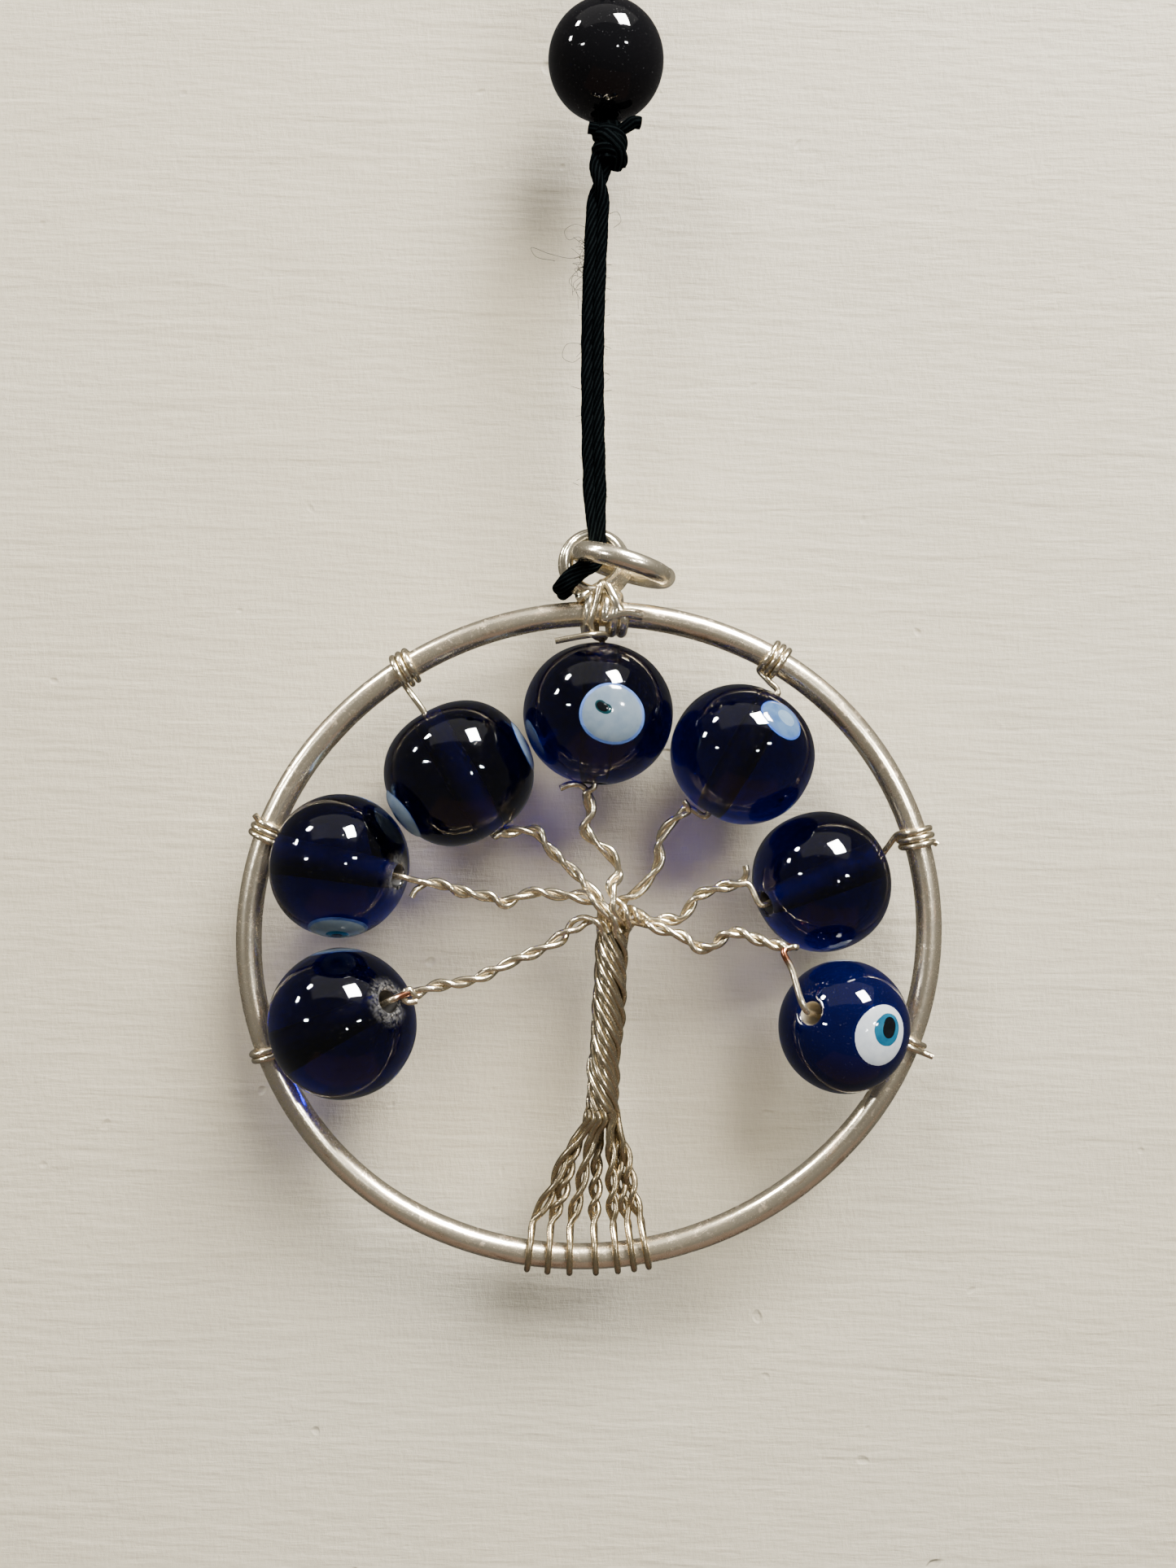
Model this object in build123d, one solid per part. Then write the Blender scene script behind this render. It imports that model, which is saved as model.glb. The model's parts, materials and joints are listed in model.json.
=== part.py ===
# Evil eye ornament: a wire tree in a hoop carries seven eye beads and hangs on a doubled cord.
# Millimetres. +Z is up and the ornament's face looks along -Y. The origin is the hang point,
# where a hook bears on the underside of the hanging loop. The cord hangs straight below it.
import os
from math import acos, atan2, cos, degrees, hypot, pi, radians, sin, sqrt, tan
from build123d import *

# Cord, knots and black bead, from the top down
strand = 1.0  # one strand of the cord
doubled = 1.65  # two strands laid together
loop_rise = 34.0  # hook to the top of the upper knot
loop_spread = 7.0  # width of the loop near its top
upper_knot_width = 2.7
upper_knot_height = 3.2
lower_knot_width = 2.6
lower_knot_height = 3.5
lower_knot_shift = 0.5  # the lower knot sits to the right of the cord
knot_gap = 0.1  # between a knot and the black bead
knot_bite = 0.6  # length of cord buried in a knot
right_tag = (2.0, -0.2, 1.26)  # tip of the cord's longer cut end, from the lower knot's centre
left_tag = (-1.7, -0.2, 0.88)
right_tag_girth = 0.9
left_tag_girth = 0.6
knot_neck = 1.4  # length of the cord's straight part inside the lower knot
black_bead_size = 8.1
cord_hole_room = 0.1  # radial room of the cord in the black bead
drop_length = 23.9  # lower knot to the bend above the bail
twist_gap = 0.05
drop_shift = -0.25  # the doubled cord leaves the knot to the left of centre
hitch_wire = 1.0  # the cord pulled tight where it goes round the bail
ball_gap = 0.07  # between the hanging cord's end and the hitch's round top
hitch_way = 216.0  # where the hitch goes round the eye's rim, in degrees from the right
hitch_reach = (1.7, 1.5)  # from the eye's centre, in front of the coil and behind it

# Hoop: hand-bent round wire, slightly oval
hoop_wire = 1.8
hoop_width = 50.3
hoop_height = 47.4
hoop_lean = 13.4  # degrees that the long axis is turned up at the right
hoop_shift = 0.27  # the hoop's centre stands right of the cord
touch = 0.02  # gap between wires that rest on each other

# Bail: a coil of wire bound on to the top of the hoop
bail_wire = 0.75
bail_turns = 3
bail_inside = 3.9  # the eye's diameter
bail_pitch = 0.70
bail_shift = -0.2  # the coil's centre stands left of the hoop's centre
bail_clear = 0.1  # between the tight cord and the coil
bail_bend = 0.75  # from the coil's top to the bend in the cord above it
binding_turns = ((-0.75, 1), (1.25, 2))  # place along the hoop's top and number of turns
binding_tail = 1.7

# Jump ring through the eye of the bail, fallen to the right
ring_wire = 1.45
ring_size = 7.6
ring_slope = 15.6  # degrees down to the right
ring_way = 149.93  # where it passes through the eye, in degrees from the right
ring_gap = 0.1273  # between its wire and the inside of the eye
ring_forward = 1.0  # its left side stands in front of the coil's middle

# Tree: seven doubled wires, twisted together
thin_wire = 0.45
pair = 0.86  # two thin wires twisted together
trunk_girth = 2.34
trunk_knee = (0.05, 0.28)  # sideways bow, and its place as a share of the height
crown = (1.78, 1.7)  # from the hoop's centre
crown_size = 2.7
root_height = 9.1  # the trunk's foot above the bottom of the hoop
trunk_foot = 1.16  # the foot stands right of the hoop's centre
root_places = (-3.7, -2.3, -0.8, 1.0, 2.5, 3.6, 4.6)  # where the roots cross the hoop
root_pitch = 0.36  # between roots at the trunk's foot
root_rise = 0.3  # the roots start this far up inside the trunk
root_bow = 0.15  # how much further each root bows out than the one before it
middle_bow = 0.05  # bow of the middle root
root_fork = 2.4  # the fork's height above the hoop's centre line
fork_sink = 0.3  # the fork's ends run this far up inside the pair
fork_half = 0.1  # half the distance between the fork's ends
fork_spread = 0.6  # the fork is as wide as the hoop's wire this far above the hoop's line
tip_share = 0.8  # a branch's tip stands forward by this share of the bead's hole
pair_overlap = 0.5  # the single wire starts this far back inside the pair
wrap_turns = 2
wrap_pitch = 0.4
binding_lean = 0.3  # the top wire's loop leans this far to the right

# Eye beads, from lower left round to lower right
bead_hole = 1.6
bead_flat = 0.95  # length along the hole as a share of the width
bead_clear = 0.25  # least gap between a bead and the hoop
bead_forward = 0.5  # least distance that a bead stands in front of the hoop
mouth_gap = -0.025  # between the bent wire and the bead's end, where it rests on the hole's rim
top_bearing = 89.0  # where bead 4 stands, in degrees from the right
eye_size = 4.2
iris_size = 2.1
pupil_size = 1.15
eye_depth = 0.95
iris_depth = 0.45
pupil_depth = 0.3

# width, room to the hoop seen from the front, gap to the next bead,
# turn of the hole away from the hoop's radius, tilt of the hole's outer end to the back,
# place of the wire's wrap from the bead's bearing, branch tip from the hole's mouth,
# eyes as pairs of degrees: round the hole from the front, and towards the outer end
beads = [
    (10.5, -0.0932, 0.75, 9.3, 33.0, 1.3, (1.5, 0.3), ((92, -30), (-107, -4), (175, 10))),
    (10.0, -0.057, 0.35, 7.6, 20.0, -1.3, (1.2, -0.5), ((-77, -8), (165, 5), (110, -5))),
    (10.4, 2.2487, 0.2, -8.8, 0.0, -3.8, (0.8, 0.3), ((-83, -3), (80, -2), (180, 0))),
    (10.6, 0.956, 0.2, -0.9, 5.0, 1.7, (-0.5, -0.4), ((11, -1), (131, 5), (-112, -4))),
    (10.2, 0.9288, 0.55, 9.9, 0.0, 5.5, (-1.4, 0.4), ((17, 45), (140, -10), (-125, -20))),
    (9.9, 1.5245, 0.65, 6.1, 20.0, 3.0, (-1.2, 1.6), ((120, 0), (-120, 5), (180, -8))),
    (9.2, -0.314, 0.0, -7.7, 43.0, -0.2, (-1.2, 4.2), ((-5, -9), (118, 4), (-124, -2))),
]

# Bends of each branch: share of the way from the crown to the tip, and offset to its left
branch_bends = [
    ((0.20, -0.1), (0.40, 0.5), (0.70, 0.7), (0.90, 0.1)),
    ((0.14, -0.8), (0.35, -0.6), (0.57, 0.5), (0.80, 0.1)),
    ((0.25, -0.5), (0.57, -0.7), (0.82, -1.3)),
    ((0.29, -0.9), (0.48, -0.5), (0.72, 0.7)),
    ((0.22, -0.5), (0.40, -0.7), (0.65, 0.2), (0.82, 0.4)),
    ((0.22, -1.2), (0.46, -1.6), (0.62, -0.4), (0.82, 0.0)),
    ((0.21, -0.4), (0.53, -1.3), (0.65, 0.0), (0.82, 0.3)),
]

# Heights and places that follow from the sizes above
bail_radius = bail_inside / 2 + bail_wire
bail_half_depth = ((bail_turns - 1) * bail_pitch + bail_wire) / 2
knot_top = -loop_rise
bead_top = knot_top - upper_knot_height - knot_gap
cord_hole = doubled + 2 * cord_hole_room
black_bead_height = sqrt(black_bead_size**2 - cord_hole**2)
bead_bottom = bead_top - black_bead_height
lower_knot_top = bead_bottom - knot_gap
drop_top = lower_knot_top - lower_knot_height - twist_gap
bend_height = drop_top - drop_length
bail_height = bend_height - bail_bend - bail_radius
half_long = (hoop_width - hoop_wire) / 2
half_short = (hoop_height - hoop_wire) / 2
hoop_back = bail_half_depth + bail_clear + hitch_wire / 2  # the hoop's plane is behind the cord
wrap_radius = hoop_wire / 2 + touch + thin_wire / 2

# The hoop's line is four arcs that run into each other
end_arc = half_short - (half_long - half_short) / 2
end_reach = half_long - end_arc
side_arc = (end_reach**2 + half_short**2 - end_arc**2) / (2 * (half_short - end_arc))
side_reach = side_arc - half_short
arc_join = degrees(atan2(side_reach, end_reach))


def hoop_at(bearing):
    """Point on the hoop's line and its outward direction, from the hoop's centre, in the plane."""
    turn = radians(bearing - hoop_lean)
    way = (cos(turn), sin(turn))
    if degrees(atan2(abs(way[1]), abs(way[0]))) <= arc_join:
        middle, arc = (end_reach if way[0] > 0 else -end_reach, 0.0), end_arc
    else:
        middle, arc = (0.0, -side_reach if way[1] > 0 else side_reach), side_arc
    along = middle[0] * way[0] + middle[1] * way[1]
    reach = along + sqrt(arc**2 - middle[0] ** 2 - middle[1] ** 2 + along**2)
    point = (reach * way[0], reach * way[1])
    out = ((point[0] - middle[0]) / arc, (point[1] - middle[1]) / arc)
    return turned(point, hoop_lean), turned(out, hoop_lean)


def turned(point, angle):
    """A point of the plane, turned about the centre."""
    c, s = cos(radians(angle)), sin(radians(angle))
    return (point[0] * c - point[1] * s, point[0] * s + point[1] * c)


def hoop_bearing(place):
    """Bearing at which the hoop's lower half crosses a distance right of its centre."""
    bearing = 270.0
    for _ in range(8):
        reach = hypot(*hoop_at(bearing)[0])
        bearing = 270.0 + degrees(pi / 2 - acos(place / reach))
    return bearing


hoop_top = hoop_at(90.0 - degrees(atan2(bail_shift, half_short)))
bail_x = hoop_shift + bail_shift
hoop_z = bail_height - bail_radius - touch - hoop_wire / 2 - hoop_top[0][1]


def in_hoop(point, forward=0.0):
    """A point given from the hoop's centre, and how far it stands in front, in the whole frame."""
    return Vector(hoop_shift + point[0], hoop_back - forward, hoop_z + point[1])


def across_hoop(bearing):
    """A plane on the hoop's line: its Z runs along the wire, its X points out of the hoop."""
    point, out = hoop_at(bearing)
    outward = Vector(out[0], 0, out[1])
    return Plane(origin=in_hoop(point), x_dir=outward, z_dir=outward.cross(Vector(0, 1, 0)))


def tube(points, radius):
    """Round wire or cord through the points: straight runs joined by arcs, and the arcs' radii."""
    corners = [Vector(*p) for p in points]
    runs = [b - a for a, b in zip(corners, corners[1:])]
    bends = []
    for before, after in zip(runs, runs[1:]):
        half_turn = radians(before.get_angle(after)) / 2
        bends.append(0.45 * min(before.length, after.length) / tan(half_turn))
    path = FilletPolyline(*corners, radius=bends)
    section = Plane(origin=corners[0], z_dir=runs[0]) * Circle(radius)
    return sweep(section, path=path), bends, path.length


def jointed(points, radius):
    """Thin wire through the points, with a round joint at each bend."""
    wire = Part()
    for a, b in zip(points, points[1:]):
        run = Plane(origin=a, z_dir=b - a)
        wire += run * Cylinder(radius, (b - a).length, align=(Align.CENTER, Align.CENTER, Align.MIN))
    for point in points[1:-1]:
        wire += Pos(*point) * Sphere(radius)
    return wire


def turns(at, inside, wire, count, pitch):
    """Turns of wire side by side round the plane's Z, as one ridged ring."""
    rows = [(i - (count - 1) / 2) * pitch for i in range(count)]
    section = Sketch()
    for row in rows:
        section += Pos(inside / 2 + wire / 2, row) * Circle(wire / 2)
    return at * revolve(Plane.XZ * section, axis=Axis.Z)


def barrel(width, height, hole=0.0):
    """Rounded body on Z, pierced along Z by a hole."""
    half_face = Pos(hole / 2 + width / 2, 0) * Rectangle(width, 2 * height)
    return revolve(Plane.XZ * (Ellipse(width / 2, height / 2) & half_face), axis=Axis.Z)


def fit_beads():
    """Place each bead, packed side by side from the top one, and clear of the hoop."""
    bearings = {3: top_bearing}
    forwards, reach = {}, {}
    for i in (3, 2, 1, 0, 4, 5, 6):
        neighbour = i + 1 if i < 3 else i - 1
        forward = forwards.get(neighbour, 0.0)
        line = hypot(*hoop_at(bearings.get(neighbour, top_bearing))[0])
        for _ in range(20):
            reach[i] = line - hoop_wire / 2 - beads[i][0] / 2 - beads[i][1]
            if i != 3:
                gap = beads[min(i, neighbour)][2]
                apart = (beads[i][0] + beads[neighbour][0]) / 2 + gap
                apart = sqrt(apart**2 - (forward - forwards[neighbour]) ** 2)
                a, b = reach[i], reach[neighbour]
                turn = degrees(acos((a * a + b * b - apart**2) / (2 * a * b)))
                bearings[i] = bearings[neighbour] + (turn if i < neighbour else -turn)
            line = hypot(*hoop_at(bearings[i])[0])
            least = beads[i][0] / 2 + hoop_wire / 2 + bead_clear
            forward = max(bead_forward, sqrt(max(least**2 - (line - reach[i]) ** 2, 0.0)))
            forwards[i] = forward
    places = []
    for i, (width, room, gap, hole_turn, tilt, wrap, tip, eyes) in enumerate(beads):
        around = radians(bearings[i])
        centre = in_hoop((reach[i] * cos(around), reach[i] * sin(around)), forwards[i])
        way, lean = radians(bearings[i] + hole_turn), radians(tilt)
        axis = Vector(cos(lean) * cos(way), sin(lean), cos(lean) * sin(way))
        places.append((centre, axis, bearings[i] + wrap))
    return places


bead_places = fit_beads()


def bead_plane(i):
    """The bead's own plane: Z along its hole, outwards, and X towards the front."""
    centre, axis, _ = bead_places[i]
    front = Vector(0, -1, 0)
    return Plane(origin=centre, x_dir=front - axis * front.dot(axis), z_dir=axis)


def mouths(i):
    """Where the wire bends outside the hole: at the branch's side and at the hoop's side."""
    centre, axis, _ = bead_places[i]
    reach = beads[i][0] * bead_flat / 2 + thin_wire / 2 + mouth_gap
    return centre - axis * reach, centre + axis * reach


def hoop():
    """The round wire of the hoop."""
    half = arc_join
    arcs = []
    for centre, arc, start, span in (
        ((end_reach, 0), end_arc, -half, 2 * half),
        ((0, -side_reach), side_arc, half, 180 - 2 * half),
        ((-end_reach, 0), end_arc, 180 - half, 2 * half),
        ((0, side_reach), side_arc, 180 + half, 180 - 2 * half),
    ):
        section = Plane.XZ * (Pos(arc, 0) * Circle(hoop_wire / 2))
        piece = Rot(0, 0, start) * revolve(section, axis=Axis.Z, revolution_arc=span)
        arcs.append(Pos(*centre, 0) * piece)
    whole = arcs[0] + arcs[1] + arcs[2] + arcs[3]
    upright = Plane(origin=in_hoop((0, 0)), x_dir=(1, 0, 0), z_dir=(0, -1, 0))
    return upright * (Rot(0, 0, hoop_lean) * whole)


def bail_coil():
    """The coil that the cord goes through, and its turns that bind it on to the hoop."""
    centre = Plane(origin=(bail_x, hoop_back, bail_height), z_dir=(0, 1, 0))
    coil = turns(centre, bail_inside, bail_wire, bail_turns, bail_pitch)
    top = 90.0 - degrees(atan2(bail_shift, half_short))
    for place, count in binding_turns:
        at = across_hoop(top - degrees(place / half_short))
        coil += turns(at, hoop_wire + 2 * touch, bail_wire, count, bail_pitch)
    place = binding_turns[-1][0] + bail_pitch / 2
    lie = across_hoop(top - degrees(place / half_short))
    start = lie.from_local_coords(Vector(0, 0, 0)) - Vector(0, hoop_wire / 2 + touch + bail_wire / 2, 0)
    tail = Plane(origin=start, z_dir=(lie.z_dir if lie.z_dir.X > 0 else lie.z_dir * -1))
    coil += tail * Cylinder(bail_wire / 2, binding_tail, align=(Align.CENTER, Align.CENTER, Align.MIN))
    return coil


def ring_places():
    """The jump ring's left side, where it turns in the eye, and its centre."""
    off = bail_inside / 2 - ring_wire / 2 - ring_gap
    way = radians(ring_way)
    seat = Vector(bail_x + off * cos(way), hoop_back - ring_forward, bail_height + off * sin(way))
    slope = radians(ring_slope)
    reach = (ring_size - ring_wire) / 2
    return seat, seat + Vector(cos(slope), 0, -sin(slope)) * reach


def jump_ring():
    """The loose ring through the bail's eye."""
    slope = radians(ring_slope)
    lie = Plane(origin=ring_places()[1], z_dir=(sin(slope), 0, cos(slope)))
    return lie * Torus((ring_size - ring_wire) / 2, ring_wire / 2)


def trunk_line():
    """Foot, knee and crown of the trunk."""
    foot = in_hoop((trunk_foot, root_height - half_short))
    top = in_hoop(crown)
    bow, share = trunk_knee
    return foot, foot + (top - foot) * share + Vector(-bow, 0, 0), top


def trunk():
    """All fourteen strands twisted together, with the knot of strands at the crown."""
    return tube(trunk_line(), trunk_girth / 2)[0] + Pos(*trunk_line()[2]) * Sphere(crown_size / 2)


def root(i):
    """A twisted pair from the trunk's foot, forked round the hoop."""
    at = across_hoop(hoop_bearing(root_places[i]))
    fork = at.from_local_coords(Vector(-root_fork, 0, 0))
    order = i - (len(root_places) - 1) / 2
    foot = trunk_line()[0] + Vector(order * root_pitch, 0, root_rise)
    bow = (fork + foot) / 2 + Vector(order * root_bow + middle_bow, 0, 0)
    stem = tube((foot, bow, fork), pair / 2)[0]
    w = wrap_radius
    top = -root_fork - fork_sink
    for side in (1, -1):
        local = [(top, side * fork_half), (-fork_spread, side * w), (w, side * w), (w, 0)]
        bend = [at.from_local_coords(Vector(x, y, 0)) for x, y in local]
        stem += tube(bend, thin_wire / 2)[0]
    return stem


def branch_line(i):
    """Points of a branch from the crown to its tip beside the bead."""
    top = in_hoop(crown)
    mouth = mouths(i)[0]
    dx, dz = beads[i][6]
    tip = Vector(mouth.X + dx, hoop_back + tip_share * (mouth.Y - hoop_back), mouth.Z + dz)
    flat = Vector(tip.X - top.X, 0, tip.Z - top.Z)
    left = Vector(-flat.Z, 0, flat.X).normalized()
    bends = [top + (tip - top) * share + left * offset for share, offset in branch_bends[i]]
    return [top, *bends, tip]


def branch(i):
    """A twisted pair of wires from the crown."""
    return tube(branch_line(i), pair / 2)[0]


def bead_wire(i):
    """One wire of the branch: through the bead and round the hoop."""
    inner, outer = mouths(i)
    tip = branch_line(i)[-1]
    start = tip + (branch_line(i)[-2] - tip).normalized() * pair_overlap
    at = across_hoop(bead_places[i][2])
    local = at.to_local_coords(outer)
    side = Vector(local.X, local.Y, 0).normalized() * wrap_radius
    wire = jointed([start, tip, inner, outer, at.from_local_coords(side)], thin_wire / 2)
    if i != 3:
        return wire + turns(at, hoop_wire + 2 * touch, thin_wire, wrap_turns, wrap_pitch)
    return wire + binding(at)


def binding(at):
    """The top wire's tall loop round the hoop and the lower rim of the bail."""
    front = bail_half_depth + touch + thin_wire / 2
    foot = at.from_local_coords(Vector(-wrap_radius - thin_wire, 0, 0))
    head_z = bail_height - bail_inside / 2 + touch + thin_wire / 2
    low, high = foot.Z, head_z
    x_low, x_high = foot.X, foot.X + binding_lean
    points = [(x_low, -front, low), (x_high, -front, high), (x_high, front, high), (x_low, front, low)]
    corners = [Vector(x, hoop_back + y, z) for x, y, z in points]
    loop = jointed([*corners, corners[0], corners[1]], thin_wire / 2)
    return loop + jointed([foot + Vector(0, 0, -thin_wire / 2), foot], thin_wire / 2)


def bead_and_eyes(i):
    """Glass body, and the whites, irises and pupils let into it flush."""
    width, eyes = beads[i][0], beads[i][7]
    body = barrel(width, width * bead_flat, bead_hole)
    layers = [Part(), Part(), Part()]
    sizes = ((eye_size, eye_depth), (iris_size, iris_depth), (pupil_size, pupil_depth))
    for around, lift in eyes:
        a, b = radians(around), radians(lift)
        look = Plane(origin=(0, 0, 0), z_dir=(cos(b) * cos(a), cos(b) * sin(a), sin(b)))
        surface = width / 2 * sqrt(1 / (cos(b) ** 2 + (sin(b) / bead_flat) ** 2))
        for layer, (size, depth) in enumerate(sizes):
            plug = Cylinder(size / 2, 2 * depth)
            layers[layer] += body & (look * (Pos(0, 0, surface) * plug))
    white, iris, pupil = layers
    at = bead_plane(i)
    return [at * piece for piece in (body - white, white - iris, iris - pupil, pupil)]


def black_bead():
    """Round bead on the cord."""
    middle = (bead_top + bead_bottom) / 2
    return Pos(0, 0, middle) * barrel(black_bead_size, black_bead_size, cord_hole)


def upper_knot():
    """Overhand knot above the black bead."""
    return Pos(0, 0, knot_top - upper_knot_height / 2) * barrel(upper_knot_width, upper_knot_height)


def lower_knot():
    """Overhand knot under the black bead, with its two cut ends."""
    middle = Vector(lower_knot_shift, 0, lower_knot_top - lower_knot_height / 2)
    knot = Pos(*middle) * barrel(lower_knot_width, lower_knot_height)
    for tip, girth in ((right_tag, right_tag_girth), (left_tag, left_tag_girth)):
        start = middle + Vector(0, 0, tip[2] / 2)
        knot += jointed([start, middle + Vector(*tip)], girth / 2)
    low = drop_top + twist_gap
    neck = Cylinder(doubled / 2, knot_neck, align=(Align.CENTER, Align.CENTER, Align.MIN))
    return knot + Pos(drop_shift, 0, low) * neck


def bead_cord():
    """The doubled cord inside the black bead, from knot to knot."""
    low = lower_knot_top - knot_bite
    height = knot_top - upper_knot_height + knot_bite - low
    return Pos(0, 0, low) * Cylinder(doubled / 2, height, align=(Align.CENTER, Align.CENTER, Align.MIN))


# Routes of the cord. The hanging loop: up from the knot, over the hook and down again.
crown_of_loop = strand / 2
loop_points = [
    (-0.55, 0, knot_top - knot_bite),
    (-1.3, 0, knot_top + 9.0),
    (-2.6, 0, knot_top + 18.5),
    (-loop_spread / 2, 0, crown_of_loop - 7.0),
    (-loop_spread / 2 + 0.1, 0, crown_of_loop - 2.1),
    (-1.5, 0, crown_of_loop),
    (1.6, 0, crown_of_loop),
    (loop_spread / 2, 0, crown_of_loop - 2.3),
    (loop_spread / 2 + 0.1, 0, crown_of_loop - 7.2),
    (2.4, 0, knot_top + 17.5),
    (1.1, 0, knot_top + 8.0),
    (0.55, 0, knot_top - knot_bite),
]
drop_points = [
    (drop_shift, 0, drop_top),
    (-0.42, 0, bend_height + 0.77406 * drop_length),
    (-0.5, 0, bend_height + 0.50209 * drop_length),
    (-0.3, 0, bend_height + 0.23013 * drop_length),
    (0.0, 0, bend_height),
]


def hanging_loop():
    """The single strand that goes over the hook."""
    return tube(loop_points, strand / 2)


def cord_drop():
    """The doubled cord from the lower knot to the bend above the bail."""
    socket = Pos(0, 0, bend_height) * Sphere(doubled / 2 + ball_gap)
    solid, bends, length = tube(drop_points, doubled / 2)
    return solid - socket, bends, length


def hitch_points():
    """The tight cord: down the front of the bail, through its eye and round its lower left rim."""
    front = bail_half_depth + bail_clear + hitch_wire / 2
    way = radians(hitch_way)
    rim = bail_radius + bail_clear + hitch_wire / 2
    before, behind = hitch_reach
    local = [
        (-bail_x, -front, bail_radius + bail_bend),
        (0.05, -front, bail_radius - 0.5),
        (0.35, -front + 0.5, 0.75),
        (0.1, -front + 0.5, -0.5),
        (before * cos(way), -front, before * sin(way)),
        (rim * cos(way), -front, rim * sin(way)),
        (rim * cos(way), front, rim * sin(way)),
        (behind * cos(way), front - 0.1, behind * sin(way)),
    ]
    return [(bail_x + x, hoop_back + y, bail_height + z) for x, y, z in local]


def cord_hitch():
    """The doubled cord from the bend, hitched round the bail."""
    solid, bends, length = tube(hitch_points(), hitch_wire / 2)
    return solid + Pos(0, 0, bend_height) * Sphere(doubled / 2), bends, length


def save(name, solid):
    """Write one piece of the ornament to its own file."""
    export_step(solid, f"parts/{name}.step")


def save_cord(name, made, radius):
    """Write a cord, and print its arcs and how its volume compares with section times length."""
    solid, bends, length = made
    share = solid.volume / (pi * radius**2 * length)
    print(name, "length", round(length, 2), "arc radii", [round(r, 1) for r in bends])
    print(name, "volume over section times length", round(share, 3))
    save(name, solid)


def main():
    """Build and write every piece."""
    os.makedirs("parts", exist_ok=True)
    save("hoop", hoop())
    save("bail_coil", bail_coil())
    save("jump_ring", jump_ring())
    save("trunk", trunk())
    for i in range(len(beads)):
        save(f"root_{i + 1}", root(i))
        save(f"branch_{i + 1}", branch(i))
        save(f"bead_wire_{i + 1}", bead_wire(i))
        names = ("bead", "eye_whites", "irises", "pupils")
        for name, piece in zip(names, bead_and_eyes(i)):
            save(f"{name}_{i + 1}", piece)
    save("black_bead", black_bead())
    save("upper_knot", upper_knot())
    save("lower_knot", lower_knot())
    save("bead_cord", bead_cord())
    save_cord("hanging_loop", hanging_loop(), strand / 2)
    save_cord("cord_drop", cord_drop(), doubled / 2)
    save_cord("cord_hitch", cord_hitch(), hitch_wire / 2)


main()
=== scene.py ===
import json
from math import acos, atan2, cos, degrees, hypot, pi, radians, sin, sqrt

import bpy
import numpy as np
from mathutils import Matrix, Vector, noise


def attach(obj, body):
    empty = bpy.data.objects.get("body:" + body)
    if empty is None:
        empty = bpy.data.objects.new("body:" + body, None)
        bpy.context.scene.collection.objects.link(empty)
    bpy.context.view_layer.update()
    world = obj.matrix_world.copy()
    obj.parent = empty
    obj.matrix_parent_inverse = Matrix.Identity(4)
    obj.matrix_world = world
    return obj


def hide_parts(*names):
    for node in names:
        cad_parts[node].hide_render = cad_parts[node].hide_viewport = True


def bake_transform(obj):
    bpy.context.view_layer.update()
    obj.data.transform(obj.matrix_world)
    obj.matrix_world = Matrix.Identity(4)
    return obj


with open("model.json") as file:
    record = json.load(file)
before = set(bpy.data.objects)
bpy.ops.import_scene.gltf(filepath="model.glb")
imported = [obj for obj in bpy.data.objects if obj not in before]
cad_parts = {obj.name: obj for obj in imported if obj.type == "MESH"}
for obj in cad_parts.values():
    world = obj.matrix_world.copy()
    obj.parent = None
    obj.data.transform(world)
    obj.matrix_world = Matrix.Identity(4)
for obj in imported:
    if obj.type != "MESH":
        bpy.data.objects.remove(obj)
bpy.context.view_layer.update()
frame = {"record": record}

MM = 0.001
RIGHT = np.array([1.0, 0.0, 0.0])
FRONT = np.array([0.0, -1.0, 0.0])

# Sizes shared with the model, in millimetres
hoop_centre = np.array([0.27, 1.675, -102.67])
hoop_wire = 1.8
thin_wire = 0.45
half_long, half_short, hoop_lean = 24.25, 22.8, 13.4
wrap_radius = hoop_wire / 2 + 0.02 + thin_wire / 2
coil_centre = np.array([0.07, 1.675, -76.19])
coil_reach = 1.95 + 0.75 / 2


# ------------------------------------------------------------------ view and light

def camera():
    """The eye stands in front of the ornament, a little above its middle, and leans slightly."""
    data = bpy.data.cameras.new("view")
    data.sensor_width, data.lens = 36.0, 33.12
    data.clip_start = 0.005
    eye = bpy.data.objects.new("view", data)
    bpy.context.collection.objects.link(eye)
    up, back = Vector((-0.0239, 0, 0.9997)), Vector((0, -1, 0))
    turn = Matrix((up.cross(back), up, back)).transposed().to_4x4()
    place = Vector(hoop_centre) + Vector((-0.317, -102.7, 10.745))
    eye.matrix_world = Matrix.Translation(place * MM) @ turn
    bpy.context.scene.camera = eye


def lamp(name, way, distance, width, height, power, tint=(1, 1, 1), glint=False):
    """A soft panel of light, seen from the ornament in a direction and facing it.

    A glint shows only in polished things; the rest only light what they reach."""
    data = bpy.data.lights.new(name, "AREA")
    data.shape, data.size, data.size_y = "RECTANGLE", width, height
    data.energy, data.color = power, tint
    panel = bpy.data.objects.new(name, data)
    bpy.context.collection.objects.link(panel)
    way = Vector(way).normalized()
    panel.location = Vector(hoop_centre) * MM + way * distance
    panel.rotation_mode = "QUATERNION"
    panel.rotation_quaternion = way.to_track_quat("Z", "Y")
    panel.visible_diffuse, panel.visible_glossy = not glint, glint


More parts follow.
